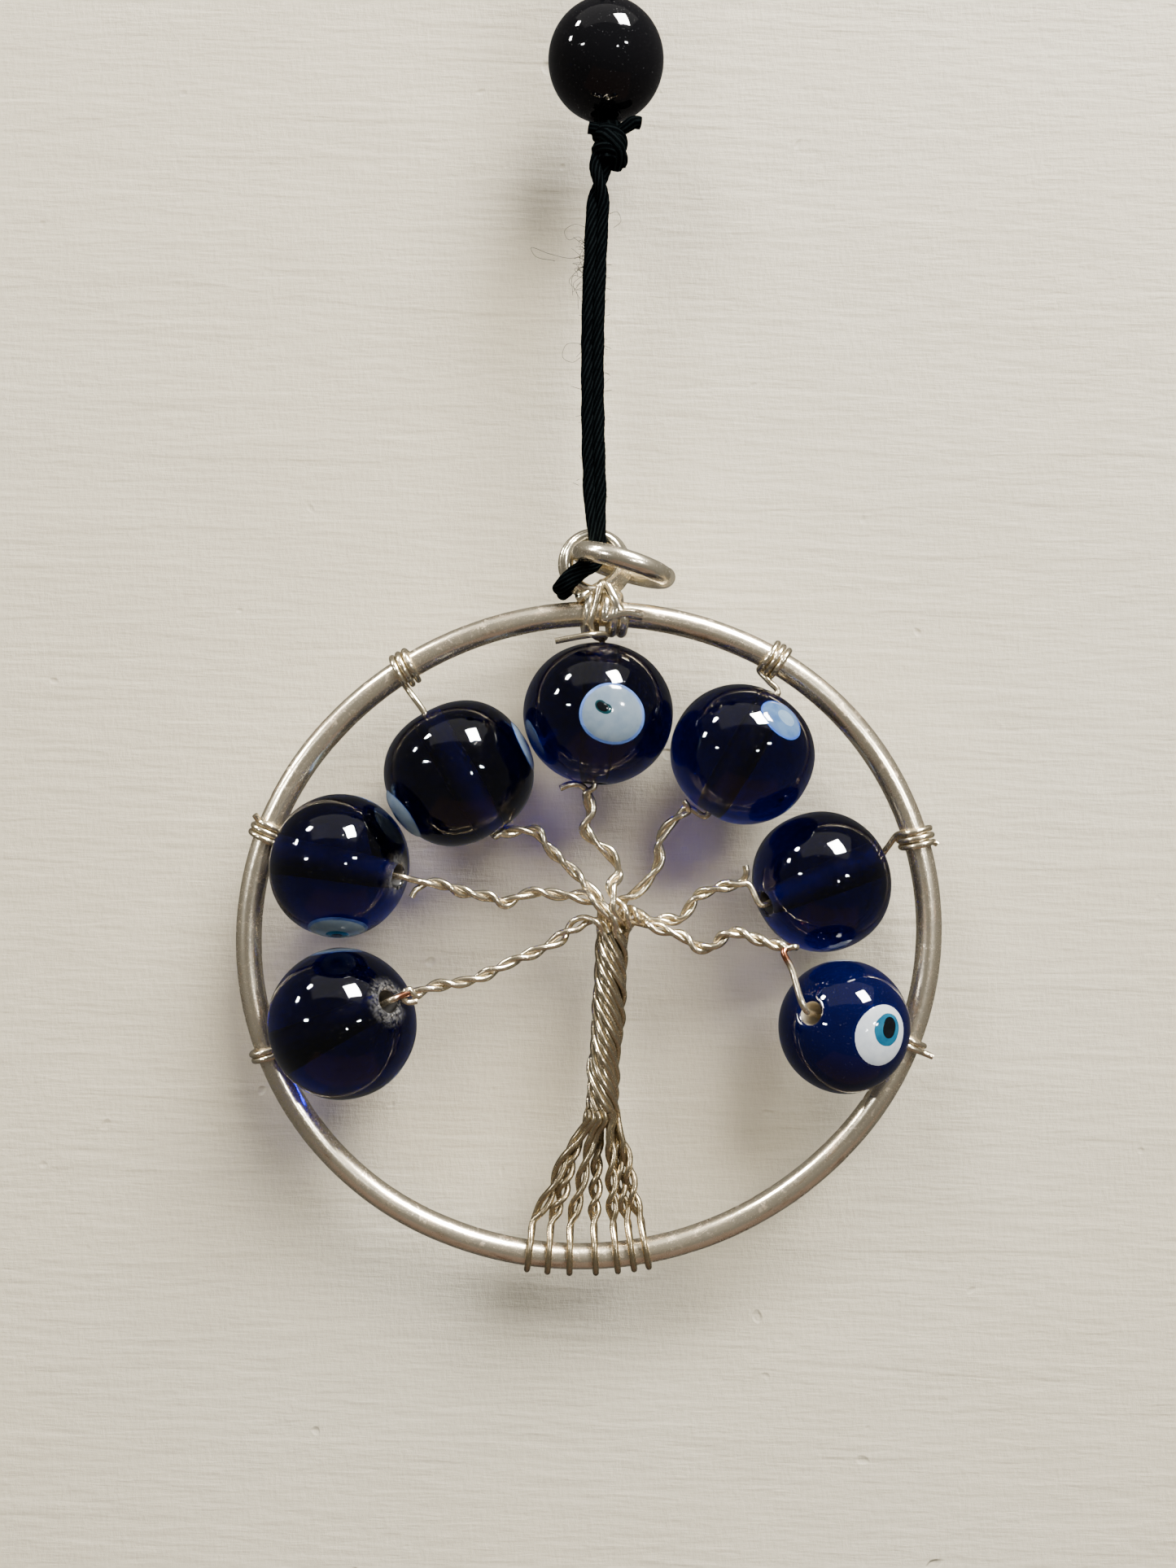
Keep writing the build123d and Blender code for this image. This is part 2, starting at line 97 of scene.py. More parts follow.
def lights():
    """Ceiling panels of a dim room, small far ones that show as glints, and warm light off the floor."""
    warm = (1, 0.97, 0.92)
    lamp("ceiling_right", (0.38, -0.60, 0.70), 0.7, 0.40, 0.40, 12.5, warm)
    lamp("ceiling_left", (-0.40, -0.62, 0.68), 0.9, 0.30, 0.30, 5.5, warm)
    lamp("ceiling_seen", (0.0, -0.35, 0.94), 1.2, 1.8, 1.0, 2.8, warm, True)
    lamp("ceiling_right_seen", (0.35, -0.42, 0.84), 0.7, 0.20, 0.25, 60.0, warm, True)
    lamp("ceiling_left_seen", (-0.62, -0.24, 0.75), 0.9, 0.08, 0.11, 14.0, warm, True)
    lamp("ceiling_far_left", (-0.85, -0.25, 0.46), 0.9, 0.06, 0.09, 7.0, warm, True)
    lamp("window_left", (-0.69, -0.68, 0.20), 0.9, 0.09, 0.035, 3.5, (1, 1, 1), True)
    lamp("window_right", (0.60, -0.77, 0.26), 0.9, 0.08, 0.04, 3.5, (1, 1, 1), True)
    lamp("far_light", (0.36, -0.92, 0.10), 0.9, 0.04, 0.04, 1.4, (1, 1, 1), True)
    lamp("floor_seen", (0.1, -0.35, -0.94), 0.8, 1.5, 0.9, 0.42, (1.0, 0.42, 0.26), True)
    world = bpy.data.worlds.new("room")
    world.use_nodes = True
    sky = world.node_tree.nodes["Background"]
    sky.inputs["Color"].default_value = (0.82, 0.79, 0.74, 1)
    sky.inputs["Strength"].default_value = 0.14
    bpy.context.scene.world = world


# ------------------------------------------------------------------ node trees

class Value:
    """A socket of a node tree that can be used in sums."""

    def __init__(self, tree, socket):
        self.tree, self.socket = tree, socket

    def math(self, operation, *values):
        return self.tree.node("ShaderNodeMath", {"operation": operation}, dict(enumerate(values)))

    def __add__(self, other):
        return self.math("ADD", self, other)

    def __sub__(self, other):
        return self.math("SUBTRACT", self, other)

    def __rsub__(self, other):
        return self.math("SUBTRACT", other, self)

    def __mul__(self, other):
        return self.math("MULTIPLY", self, other)

    def __truediv__(self, other):
        return self.math("DIVIDE", self, other)

    def __rtruediv__(self, other):
        return self.math("DIVIDE", other, self)

    __radd__, __rmul__ = __add__, __mul__

    def wave(self):
        return self.math("SINE", self)

    def most(self, other):
        return self.math("MAXIMUM", self, other)


class Tree:
    """A node tree, built node by node."""

    def __init__(self, tree):
        self.tree = tree

    def node(self, kind, settings=None, values=None, out=0):
        made = self.tree.nodes.new(kind)
        for name, value in (settings or {}).items():
            setattr(made, name, value)
        for name, value in (values or {}).items():
            if isinstance(value, Value):
                self.tree.links.new(value.socket, made.inputs[name])
            else:
                made.inputs[name].default_value = value
        return Value(self, made.outputs[out]) if len(made.outputs) else None


# ------------------------------------------------------------------ finishes

class Finish(Tree):
    """A material of one finish."""

    def __init__(self, name):
        self.material = bpy.data.materials.new(name)
        self.material.use_nodes = True
        super().__init__(self.material.node_tree)
        self.tree.nodes.clear()
        self.place = self.node("ShaderNodeTexCoord", out="Object")

    def grain(self, size, detail=3.0, rough=0.55, stretch=None, out=0):
        """Noise whose lumps are about a size in millimetres."""
        where = self.place
        if stretch:
            where = self.node("ShaderNodeMapping", {}, {"Vector": where, "Scale": stretch})
        values = {"Vector": where, "Scale": 1 / (size * MM), "Detail": detail, "Roughness": rough}
        return self.node("ShaderNodeTexNoise", {}, values, out)

    def step(self, value, low, high):
        """0 below low, 1 above high, and smooth between."""
        values = {"Value": value, "From Min": low, "From Max": high}
        return self.node("ShaderNodeMapRange", {"interpolation_type": "SMOOTHSTEP"}, values)

    def mix(self, share, one, other):
        """One colour, and the other where the share is 1."""
        values = {"Factor": share, 6: one, 7: other}
        return self.node("ShaderNodeMix", {"data_type": "RGBA"}, values, 2)

    def attribute(self, name):
        return self.node("ShaderNodeAttribute", {"attribute_name": name}, {}, "Fac")

    def bump(self, height, depth, strength=1.0):
        """A normal for relief whose height is a share of a depth in millimetres."""
        return self.node("ShaderNodeBump", {}, {"Height": height, "Distance": depth * MM, "Strength": strength})

    def surface(self, **values):
        """A principled surface."""
        values = {name.replace("_", " "): value for name, value in values.items()}
        return self.output(self.node("ShaderNodeBsdfPrincipled", {}, values))

    def output(self, shader, absorb=None):
        """The finished material, and the colour inside it where light goes through."""
        ends = {"Surface": shader}
        if absorb:
            colour, density = absorb
            ends["Volume"] = self.node("ShaderNodeVolumeAbsorption", {}, {"Color": colour, "Density": density})
        self.node("ShaderNodeOutputMaterial", {}, ends)
        return self.material


def plated_wire(name, bright, worn, wear, coarse, dull, bare=0.0):
    """Silver plate over copper: worn in specks and in streaks along the wire, and gone over a first length."""
    f = Finish(name)
    around, along = f.attribute("around"), f.attribute("along")
    drawn = {"X": around * 9.0, "Y": along * 420.0, "Z": (around * 6.283).wave()}
    where = f.node("ShaderNodeCombineXYZ", {}, drawn)
    streak = f.node("ShaderNodeTexNoise", {}, {"Vector": where, "Scale": 1.0, "Detail": 5.0, "Roughness": 0.6})
    patch = f.step(f.grain(coarse, 5.0, 0.68), 0.66 - 0.16 * wear, 0.80 - 0.08 * wear)
    speck = f.step(f.grain(0.14, 3.0, 0.7), 0.58, 0.72)
    cloud = f.grain(0.9, 4.0)
    tarnish = f.step(streak, 0.50, 0.72)
    yellowed = (bright[0] * 0.84, bright[1] * 0.79, bright[2] * 0.70, 1)
    tint = f.mix(f.step(cloud, 0.35, 0.7) * 0.4, bright, yellowed)
    share = (patch * 0.7).most(speck * wear * 0.8).most(tarnish * wear)
    if bare:
        share = share.most(1.0 - f.step(along, bare * MM, (bare + 0.8) * MM))
    rough = dull + cloud * 0.10 + patch * 0.20 + speck * 0.14 + tarnish * 0.10
    relief = f.grain(0.22, 4.0, 0.6) * 0.7 + f.grain(0.05, 2.0) * 0.12 + streak * 0.4
    return f.surface(
        Base_Color=f.mix(share, tint, worn), Metallic=0.93, Roughness=rough, Normal=f.bump(relief, 0.02, 0.5)
    )


def cobalt_glass(name, inside, density, body, clear=1.0):
    """Lampwork glass: deep blue, seeds near the surface, and chalky dust round the hole."""
    f = Finish(name)
    seed = f.step(f.grain(0.14, 1.0), 0.72, 0.78)
    cloud = f.grain(2.2, 3.0)
    speck = f.step(f.grain(0.13, 2.0), 0.67, 0.73)
    near = f.step(f.attribute("mouth"), 0.10, 1.0)
    dust = (near * f.step(f.grain(0.22, 5.0, 0.75), 0.40, 0.68) * 0.75).most(speck * (0.10 + near * 0.5))
    relief = f.grain(2.6, 2.0) * 0.9 + seed * 0.05 + f.grain(0.5, 2.0) * 0.02
    normal = f.bump(relief, 0.06, 0.35)
    glass = f.node("ShaderNodeBsdfPrincipled", {}, {
        "Base Color": f.mix(f.step(cloud, 0.4, 0.7), body, [c * 0.8 for c in body[:3]] + [1]),
        "Roughness": 0.015 + seed * 0.12 + f.step(f.grain(0.3, 4.0), 0.62, 0.7) * 0.05,
        "Transmission Weight": clear,
        "IOR": 1.5,
        "Specular IOR Level": 0.36,
        "Normal": normal,
    })
    chalk = f.node("ShaderNodeBsdfPrincipled", {}, {
        "Base Color": f.mix(cloud, (0.30, 0.29, 0.26, 1), (0.20, 0.20, 0.21, 1)),
        "Roughness": 0.85,
        "Normal": normal,
    })
    shown = f.node("ShaderNodeMixShader", {}, {0: dust, 1: glass, 2: chalk})
    return f.output(shown, (inside, density))


def milk_glass(name, colour, shade, dull=0.06):
    """Opaque glass let into the bead: soft-edged, slightly cloudy, fire polished."""
    f = Finish(name)
    cloud = f.grain(0.8, 4.0)
    return f.surface(
        Base_Color=f.mix(f.step(cloud, 0.35, 0.72), colour, shade),
        Roughness=dull + f.grain(0.4, 3.0) * 0.05,
        IOR=1.5,
        Specular_IOR_Level=0.4,
        Normal=f.bump(f.grain(0.9, 2.0), 0.03, 0.3),
    )


def polished_black(name):
    """Black glass bead on the cord, with faint dust and fine scratches."""
    f = Finish(name)
    dust = f.step(f.grain(0.12, 2.0), 0.68, 0.76)
    haze = f.grain(3.0, 4.0)
    return f.surface(
        Base_Color=f.mix(dust, (0.004, 0.004, 0.005, 1), (0.05, 0.05, 0.055, 1)),
        Roughness=0.02 + haze * 0.04 + dust * 0.3,
        IOR=1.5,
        Specular_IOR_Level=0.28,
        Normal=f.bump(f.grain(1.6, 2.0), 0.02, 0.25),
    )


def satin_cord(name):
    """Black twisted satin cord: fine filaments that wind round each strand, their crests a little lighter as a
    painted sheen.
    """
    f = Finish(name)
    around, along = f.attribute("around"), f.attribute("along")
    lay = around * 6.283 * 9.0 + along * 2600.0
    filament = lay.wave() * 0.5 + 0.5
    fine = (around * 6.283 * 31.0 + along * 9000.0).wave() * 0.5 + 0.5
    fluff = f.grain(0.12, 5.0, 0.7)
    # Lighter where the fibres fluff, and along the filament crests as a painted sheen in place of the satin's
    # shine.
    worn = f.step(fluff * 0.6 + filament * 0.4, 0.4, 0.8)
    colour = f.mix(worn, (0.0010, 0.0014, 0.0017, 1), (0.007, 0.010, 0.011, 1))
    relief = filament * 0.5 + fine * 0.25 + fluff * 0.6
    return f.surface(
        Base_Color=colour,
        Roughness=0.46 + fluff * 0.3,
        IOR=1.45,
        Specular_IOR_Level=0.0,
        Normal=f.bump(relief, 0.05, 0.9),
    )


def plaster(name, colour):
    """Pale painted backdrop with faint brush lines."""
    f = Finish(name)
    brush = f.grain(0.55, 4.0, 0.6, (0.14, 1.0, 1.0))
    ridge = f.step(f.grain(2.4, 2.0, 0.5, (0.07, 1.0, 1.0)), 0.52, 0.60)
    weave = f.grain(0.35, 4.0, 0.6, (1.0, 1.0, 0.35))
    swell = f.grain(9.0, 3.0)
    dent = f.step(f.grain(2.6, 1.0), 0.74, 0.80)
    relief = brush * 0.55 + ridge * 0.10 + weave * 0.4 + swell * 1.2 - dent * 0.5
    stain = f.step(f.grain(5.0, 5.0, 0.6, (1.0, 1.0, 0.5)), 0.68, 0.78) * 0.25
    warmer = (colour[0] * 0.97, colour[1] * 0.94, colour[2] * 0.89, 1)
    tint = f.mix(f.step(f.grain(55.0, 3.0), 0.3, 0.7), colour, warmer)
    tint = f.mix(stain, tint, (colour[0] * 0.75, colour[1] * 0.7, colour[2] * 0.64, 1))
    paint = {"Base Color": tint, "Roughness": 0.75, "Normal": f.bump(relief, 0.22, 0.9)}
    face = f.node("ShaderNodeBsdfPrincipled", {}, paint)
    clear = f.node("ShaderNodeBsdfTransparent")
    behind = f.node("ShaderNodeNewGeometry", out="Backfacing")
    shown = f.node("ShaderNodeMixShader", {}, {0: behind, 1: face, 2: clear})
    return f.output(shown)


# ------------------------------------------------------------------ lines in space

def unit(way):
    return way / np.linalg.norm(way, axis=-1, keepdims=True)


def spot(x, z, forward=0.0):
    """A place from the hoop's centre: right, up, and forward of the hoop's plane."""
    return hoop_centre + np.array([x, -forward, z])


def smooth(points, step=0.12):
    """A smooth line that passes through the points."""
    p = np.array(points, float)
    span = np.maximum(np.linalg.norm(np.diff(p, axis=0), axis=1), 1e-6)
    slope = np.diff(p, axis=0) / span[:, None]
    lean = (span[:-1] / (span[:-1] + span[1:]))[:, None]
    tangent = np.vstack([slope[:1], slope[:-1] + (slope[1:] - slope[:-1]) * lean, slope[-1:]])
    line = []
    for a, b, m, n, s in zip(p, p[1:], tangent, tangent[1:], span):
        count = max(2, int(s / step))
        t = np.linspace(0, 1, count, endpoint=False)[:, None]
        line.append((2 * t**3 - 3 * t**2 + 1) * a + (t**3 - 2 * t**2 + t) * s * m
                    + (3 * t**2 - 2 * t**3) * b + (t**3 - t**2) * s * n)
    return np.vstack([*line, p[-1:]])


def share_along(line):
    """0 at the line's start, 1 at its end, by length."""
    run = np.concatenate([[0], np.cumsum(np.linalg.norm(np.diff(line, axis=0), axis=1))])
    return run / run[-1]


def across(line, first):
    """Two directions square to the line at each point, carried along it without twist."""
    ahead = unit(np.gradient(line, axis=0))
    side = np.zeros_like(line)
    way = np.array(first, float)
    for i, t in enumerate(ahead):
        way = way - t * way.dot(t)
        way = way / np.linalg.norm(way)
        side[i] = way
    return side, np.cross(ahead, side)


def laid(line, count, reach, turns, first=FRONT, start=0.0):
    """Strands that twist round a line. Turns may be a number or one value for each point."""
    side, other = across(line, first)
    turn = turns * share_along(line) if np.isscalar(turns) else turns
    reach = np.broadcast_to(reach, len(line))[:, None]
    strands = []
    for i in range(count):
        a = (start + 2 * pi * (turn + i / count))[:, None]
        strands.append(line + reach * (np.cos(a) * side + np.sin(a) * other))
    return strands


def hoop_at(bearing):
    """Point and outward direction of the hoop's line: four arcs that make a slight oval."""
    end_arc = half_short - (half_long - half_short) / 2
    end_reach = half_long - end_arc
    side_arc = (end_reach**2 + half_short**2 - end_arc**2) / (2 * (half_short - end_arc))
    side_reach = side_arc - half_short
    turn = radians(bearing - hoop_lean)
    c, s = cos(turn), sin(turn)
    if degrees(atan2(abs(s), abs(c))) <= degrees(atan2(side_reach, end_reach)):
        mx, mz, arc = (end_reach if c > 0 else -end_reach), 0.0, end_arc
    else:
        mx, mz, arc = 0.0, (-side_reach if s > 0 else side_reach), side_arc
    along = mx * c + mz * s
    reach = along + sqrt(arc**2 - mx**2 - mz**2 + along**2)
    x, z = reach * c, reach * s
    ox, oz = (x - mx) / arc, (z - mz) / arc
    c, s = cos(radians(hoop_lean)), sin(radians(hoop_lean))
    return spot(x * c - z * s, x * s + z * c), np.array([ox * c - oz * s, 0.0, ox * s + oz * c])


# ------------------------------------------------------------------ wire and yarn

def wire_tree():
    """Geometry Nodes: round wire or yarn along every line of a curve."""
    group = bpy.data.node_groups.new("wire_along_a_line", "GeometryNodeTree")
    face = group.interface
    face.new_socket("Line", in_out="INPUT", socket_type="NodeSocketGeometry")
    for name, kind, value in (
        ("Sides", "Int", 12), ("Unevenness", "Float", 0.03), ("Lump size", "Float", 0.0006),
        ("Ridges", "Int", 0), ("Ridge depth", "Float", 0.0), ("Flatness", "Float", 1.0),
        ("Seed", "Float", 1.0), ("Finish", "Material", None),
    ):
        socket = face.new_socket(name, in_out="INPUT", socket_type="NodeSocket" + kind)
        if value is not None:
            socket.default_value = value
    face.new_socket("Wire", in_out="OUTPUT", socket_type="NodeSocketGeometry")
    t = Tree(group)
    given = t.node("NodeGroupInput").socket.node

    def size(name):
        return Value(t, given.outputs[name])

    lumps = t.node("ShaderNodeTexNoise", {"noise_dimensions": "4D"}, {
        "W": size("Seed"), "Scale": 1.0 / size("Lump size"), "Detail": 2.0})
    girth = t.node("GeometryNodeInputRadius") * (1.0 + size("Unevenness") * (lumps * 2.0 - 1.0))
    line = t.node("GeometryNodeSetCurveRadius", {}, {"Curve": size("Line"), "Radius": girth})
    length = t.node("GeometryNodeSplineParameter", out="Length")
    line = t.node("GeometryNodeStoreNamedAttribute", {"data_type": "FLOAT", "domain": "POINT"},
                  {"Geometry": line, "Name": "along", "Value": length})
    ring = t.node("GeometryNodeCurvePrimitiveCircle", {}, {"Resolution": size("Sides"), "Radius": 1.0})
    part = t.node("GeometryNodeSplineParameter", out="Factor")
    ring = t.node("GeometryNodeStoreNamedAttribute", {"data_type": "FLOAT", "domain": "POINT"},
                  {"Geometry": ring, "Name": "around", "Value": part})
    ridge = 1.0 + size("Ridge depth") * (part * size("Ridges") * 2 * pi).wave()
    squash = t.node("ShaderNodeCombineXYZ", {}, {"X": ridge, "Y": ridge * size("Flatness"), "Z": 1.0})
    place = t.node("GeometryNodeInputPosition")
    where = t.node("ShaderNodeVectorMath", {"operation": "MULTIPLY"}, {0: place, 1: squash})
    ring = t.node("GeometryNodeSetPosition", {}, {"Geometry": ring, "Position": where})
    wire = t.node("GeometryNodeCurveToMesh", {}, {
        "Curve": line, "Profile Curve": ring, "Scale": t.node("GeometryNodeInputRadius"), "Fill Caps": True})
    wire = t.node("GeometryNodeRealizeInstances", {}, {"Geometry": wire})
    wire = t.node("GeometryNodeSetMaterial", {}, {"Geometry": wire, "Material": size("Finish")})
    t.node("NodeGroupOutput", {}, {0: wire})
    return group


def evaluated_mesh(maker, name):
    """The finished plain mesh of an object with live Geometry Nodes, as a new object."""
    bpy.context.view_layer.update()
    now = maker.evaluated_get(bpy.context.evaluated_depsgraph_get())
    mesh = bpy.data.meshes.new_from_object(now)
    mesh.name = name
    piece = bpy.data.objects.new(name, mesh)
    bpy.context.collection.objects.link(piece)
    data = maker.data
    bpy.data.objects.remove(maker)
    bpy.data.curves.remove(data)
    mesh.shade_smooth()
    return piece


def wires(name, lines, girths, finish, closed=False, tilt=0.0, **sizes):
    """One mesh of wire or yarn along the lines, each with its thickness in millimetres."""
    data = bpy.data.curves.new(name + "_lines", "CURVE")
    data.dimensions = "3D"
    girths = girths if isinstance(girths, list) else [girths] * len(lines)
    for line, girth in zip(lines, girths):
        radius = np.asarray(girth) / 2 * MM
        spline = data.splines.new("POLY")
        spline.points.add(len(line) - 1)
        spline.points.foreach_set("co", np.c_[line * MM, np.ones(len(line))].ravel())
        spline.points.foreach_set("radius", np.broadcast_to(radius, len(line)).astype(float))
        spline.points.foreach_set("tilt", np.broadcast_to(tilt, len(line)).astype(float))
        spline.use_cyclic_u = closed
    maker = bpy.data.objects.new(name + "_lines", data)
    bpy.context.collection.objects.link(maker)
    live = maker.modifiers.new("wire", "NODES")
    live.node_group = wire_group
    for socket in wire_group.interface.items_tree:
        if socket.in_out == "INPUT" and socket.name in sizes:
            live[socket.identifier] = sizes[socket.name]
        elif socket.in_out == "INPUT" and socket.name == "Finish":
            live[socket.identifier] = finish
    return evaluated_mesh(maker, name)


def finished(piece, body, slot, *nodes):
    """The piece moves with a body and stands for its nodes, whose parts it hides; its slot is not used."""
    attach(piece, body)
    if nodes:
        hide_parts(*nodes)
    return piece


def solid(name, points, faces, finishes, chosen=None):
    """A mesh in metres from points in millimetres."""
    mesh = bpy.data.meshes.new(name)
    mesh.from_pydata([tuple(p) for p in np.asarray(points) * MM], [], faces)
    for finish in finishes:
        mesh.materials.append(finish)
    if chosen is not None:
        mesh.polygons.foreach_set("material_index", chosen)
    mesh.validate()
    mesh.shade_smooth()
    piece = bpy.data.objects.new(name, mesh)
    bpy.context.collection.objects.link(piece)
    return piece


# ------------------------------------------------------------------ cord, knots and black bead

def route(points):
    """A cord's smooth line, in millimetres: its points steer one NURBS spline."""
    data = bpy.data.curves.new("route", "CURVE")
    data.dimensions = "3D"
    spline = data.splines.new("NURBS")
    spline.points.add(len(points) - 1)
    for place, point in zip(spline.points, points):
        place.co = (*(c * MM for c in point), 1)
    spline.order_u = 3
    spline.use_endpoint_u = True
    spline.resolution_u = 24
    guide = bpy.data.objects.new("route", data)
    bpy.context.collection.objects.link(guide)
    bpy.context.view_layer.update()
    mesh = bpy.data.meshes.new_from_object(guide.evaluated_get(bpy.context.evaluated_depsgraph_get()))
    line = np.array([v.co for v in mesh.vertices]) / MM
    bpy.data.objects.remove(guide)
    bpy.data.curves.remove(data)
    bpy.data.meshes.remove(mesh)
    return line


loop_route = [
    (-0.55, 0, -34.6), (-1.3, 0, -25), (-2.6, 0, -15.5), (-3.5, 0, -6.5), (-3.4, 0, -1.6), (-1.5, 0, 0.5),
    (1.6, 0, 0.5), (3.5, 0, -1.8), (3.6, 0, -6.7), (2.4, 0, -16.5), (1.1, 0, -26), (0.55, 0, -34.6),
]
drop_route = [
    (-0.25, 0, -48.9), (-0.42, 0, -54.2), (-0.5, 0, -60.7), (-0.3, 0, -67.2), (0.0, 0, -72.7), (0.12, 0, -74.0),
    (0.3, 0.5, -75.4), (0.0, 0.4, -76.4), (-1.0, -0.05, -77.0), (-2.25, -0.05, -78.2), (-2.45, 3.35, -78.3),
    (-1.15, 3.25, -77.1),
]
cord_sizes = {
    "Sides": 36, "Unevenness": 0.11, "Lump size": 0.0013, "Ridges": 11, "Ridge depth": 0.035, "Flatness": 0.93,
}


def filament_twist(line, pitch):
    """Tilt that winds a strand's filaments round it once every pitch."""
    run = share_along(line) * np.linalg.norm(np.diff(line, axis=0), axis=1).sum()
    return 2 * pi * run / pitch


def hanging_loop(finish):
    line = route(loop_route)
    piece = wires("hanging_loop_strand", [line], 0.98, finish, tilt=filament_twist(line, 6.0), **cord_sizes)
    finished(piece, "root", "black_cord", "hanging_loop")


def doubled_cord(finish):
    """Two strands side by side from inside the lower knot, tight round the lower left rim of the bail."""
    path = route(drop_route)
    buried = smooth([path[0] + [0.4, 0, 1.5], path[0] + [0.15, 0, 0.7], path[0]], 0.2)
    line = np.vstack([buried[:-1], path])
    share = share_along(line)
    crossing = np.clip(share / 0.13, 0, 1)
    turn = 0.5 * (1 - crossing**2 * (3 - 2 * crossing)) + 0.03 * np.sin(share * 23) * (share < 0.62)
    tight = np.clip((share - 0.68) / 0.06, 0, 1)
    strands = laid(line, 2, 0.37 - 0.12 * tight, turn, first=RIGHT)
    girth = 0.93 - 0.11 * tight
    piece = wires("doubled_cord", strands, [girth, girth], finish, tilt=filament_twist(line, 5.0), **cord_sizes)
    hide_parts("cord_drop", "cord_hitch")
    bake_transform(piece)


def loose_fibres(finish):
    """Frayed filaments that stand off the cord's left side, and fine fluff along it."""
    rng = np.random.default_rng(5)
    curls = [
        [(-0.9, -0.4, -53.2), (-1.9, -0.6, -53.0), (-2.6, -0.8, -53.6),
         (-2.3, -0.9, -54.2), (-1.6, -0.7, -53.9), (-1.0, -0.5, -54.6)],
        [(-0.9, -0.4, -55.0), (-2.1, -0.7, -55.4), (-3.6, -0.9, -55.2),
         (-4.9, -1.0, -54.9), (-4.7, -1.0, -55.3), (-3.2, -0.9, -55.7)],
        [(-1.0, -0.3, -54.2), (-1.5, -0.5, -55.2), (-1.2, -0.6, -56.4),
         (-1.9, -0.7, -57.2), (-1.4, -0.6, -58.2)],
        [(-1.0, -0.3, -55.6), (-1.8, -0.4, -56.3), (-2.2, -0.6, -57.0),
         (-1.7, -0.6, -57.6), (-1.5, -0.6, -58.9)],
        [(0.5, -0.3, -52.1), (1.0, -0.5, -52.0), (1.3, -0.5, -52.7), (0.8, -0.4, -53.1)],
        [(-1.2, -0.4, -61.2), (-2.3, -0.6, -61.4), (-2.5, -0.6, -62.3),
         (-1.8, -0.6, -62.6), (-1.3, -0.4, -62.2)],
        [(-0.9, -0.4, -53.9), (-1.5, -0.7, -54.6), (-1.1, -0.8, -55.3),
         (-1.6, -0.7, -56.0), (-1.1, -0.6, -56.6)],
    ]
    lines = [smooth(curl, 0.15) for curl in curls]
    for _ in range(70):
        z = rng.uniform(-72, -50)
        side = rng.uniform(0, 2 * pi)
        out = np.array([0.82 * cos(side), 0.45 * sin(side), 0.0])
        root = np.array([-0.38, 0.0, z]) + out
        reach = rng.uniform(0.12, 0.45)
        bend = rng.normal(0, 0.18, 3)
        end = root + unit(out) * reach + bend
        lines.append(smooth([root, (root + end) / 2, end], 0.1))
    for _ in range(26):
        z = rng.uniform(-57.5, -54.0)
        start = np.array([-1.05, -0.3, z])
        middle = start + rng.normal(0, 0.25, 3) + [-0.2, -0.1, 0]
        end = start + rng.normal(0, 0.4, 3) + [-0.3, -0.1, 0]
        lines.append(smooth([start, middle, end], 0.1))
    piece = wires("loose_fibres", lines, 0.032, finish, Sides=4, Unevenness=0.2)
    return finished(piece, "cord", "black_cord")


def knot(name, node, low, high, shift, girth, width, finish, tails=()):
    """Overhand knot: the cord goes round itself in slanting turns, with a strand across the front."""
    middle, height = (low + high) / 2, high - low
    reach = (width - girth) / 2
    angle = np.linspace(-0.4, 2 * pi * 1.9, 90)
    climb = np.linspace(-1, 1, 90) * (height / 2 - girth * 0.55)
    rise = middle + climb + 0.18 * np.sin(angle)
    coil = np.c_[shift + reach * np.cos(angle), -reach * 0.9 * np.sin(angle), rise]
    cross = smooth([
        (shift - 0.5 * reach, 0.5 * reach, high - 0.2),
        (shift - reach, -0.3 * reach, high - 0.30 * height),
        (shift - 0.2 * reach, -1.15 * reach, middle + 0.05 * height),
        (shift + 0.8 * reach, -0.8 * reach, low + 0.30 * height),
        (shift + 0.5 * reach, 0.4 * reach, low + 0.2)])
    core = smooth([(shift, 0.0, high - 0.45), (shift + 0.05, 0.0, middle), (shift - 0.05, 0.0, low + 0.5)])
    lines = [coil, cross, core, *(smooth(tail) for tail in tails)]
    sizes = dict(cord_sizes, Unevenness=0.12)
    sizes["Lump size"] = 0.0006
    piece = wires(name, lines, [girth, girth, girth * 1.7, *[girth * 0.8] * len(tails)], finish, **sizes)
    return finished(piece, "root", "black_cord", node)


def black_bead(finish):
    points, faces, *_ = turned_body(4.05, 4.05, 2.0, 0.93, 0.25, None, 96)
    piece = solid("black_glass_bead", points + np.array([0, 0, -41.27]), faces, [finish])
    return finished(piece, "black_bead", "black_glass", "black_bead")


def cord_in_bead(finish):
    line = smooth([(0.1, 0, -46.2), (0.0, 0, -41.3), (-0.1, 0, -36.4)], 0.3)
    piece = wires("cord_inside_bead", laid(line, 2, 0.38, 0.5, first=RIGHT), 0.84, finish, **cord_sizes)
    return finished(piece, "root", "black_cord", "bead_cord")


# ------------------------------------------------------------------ glass beads

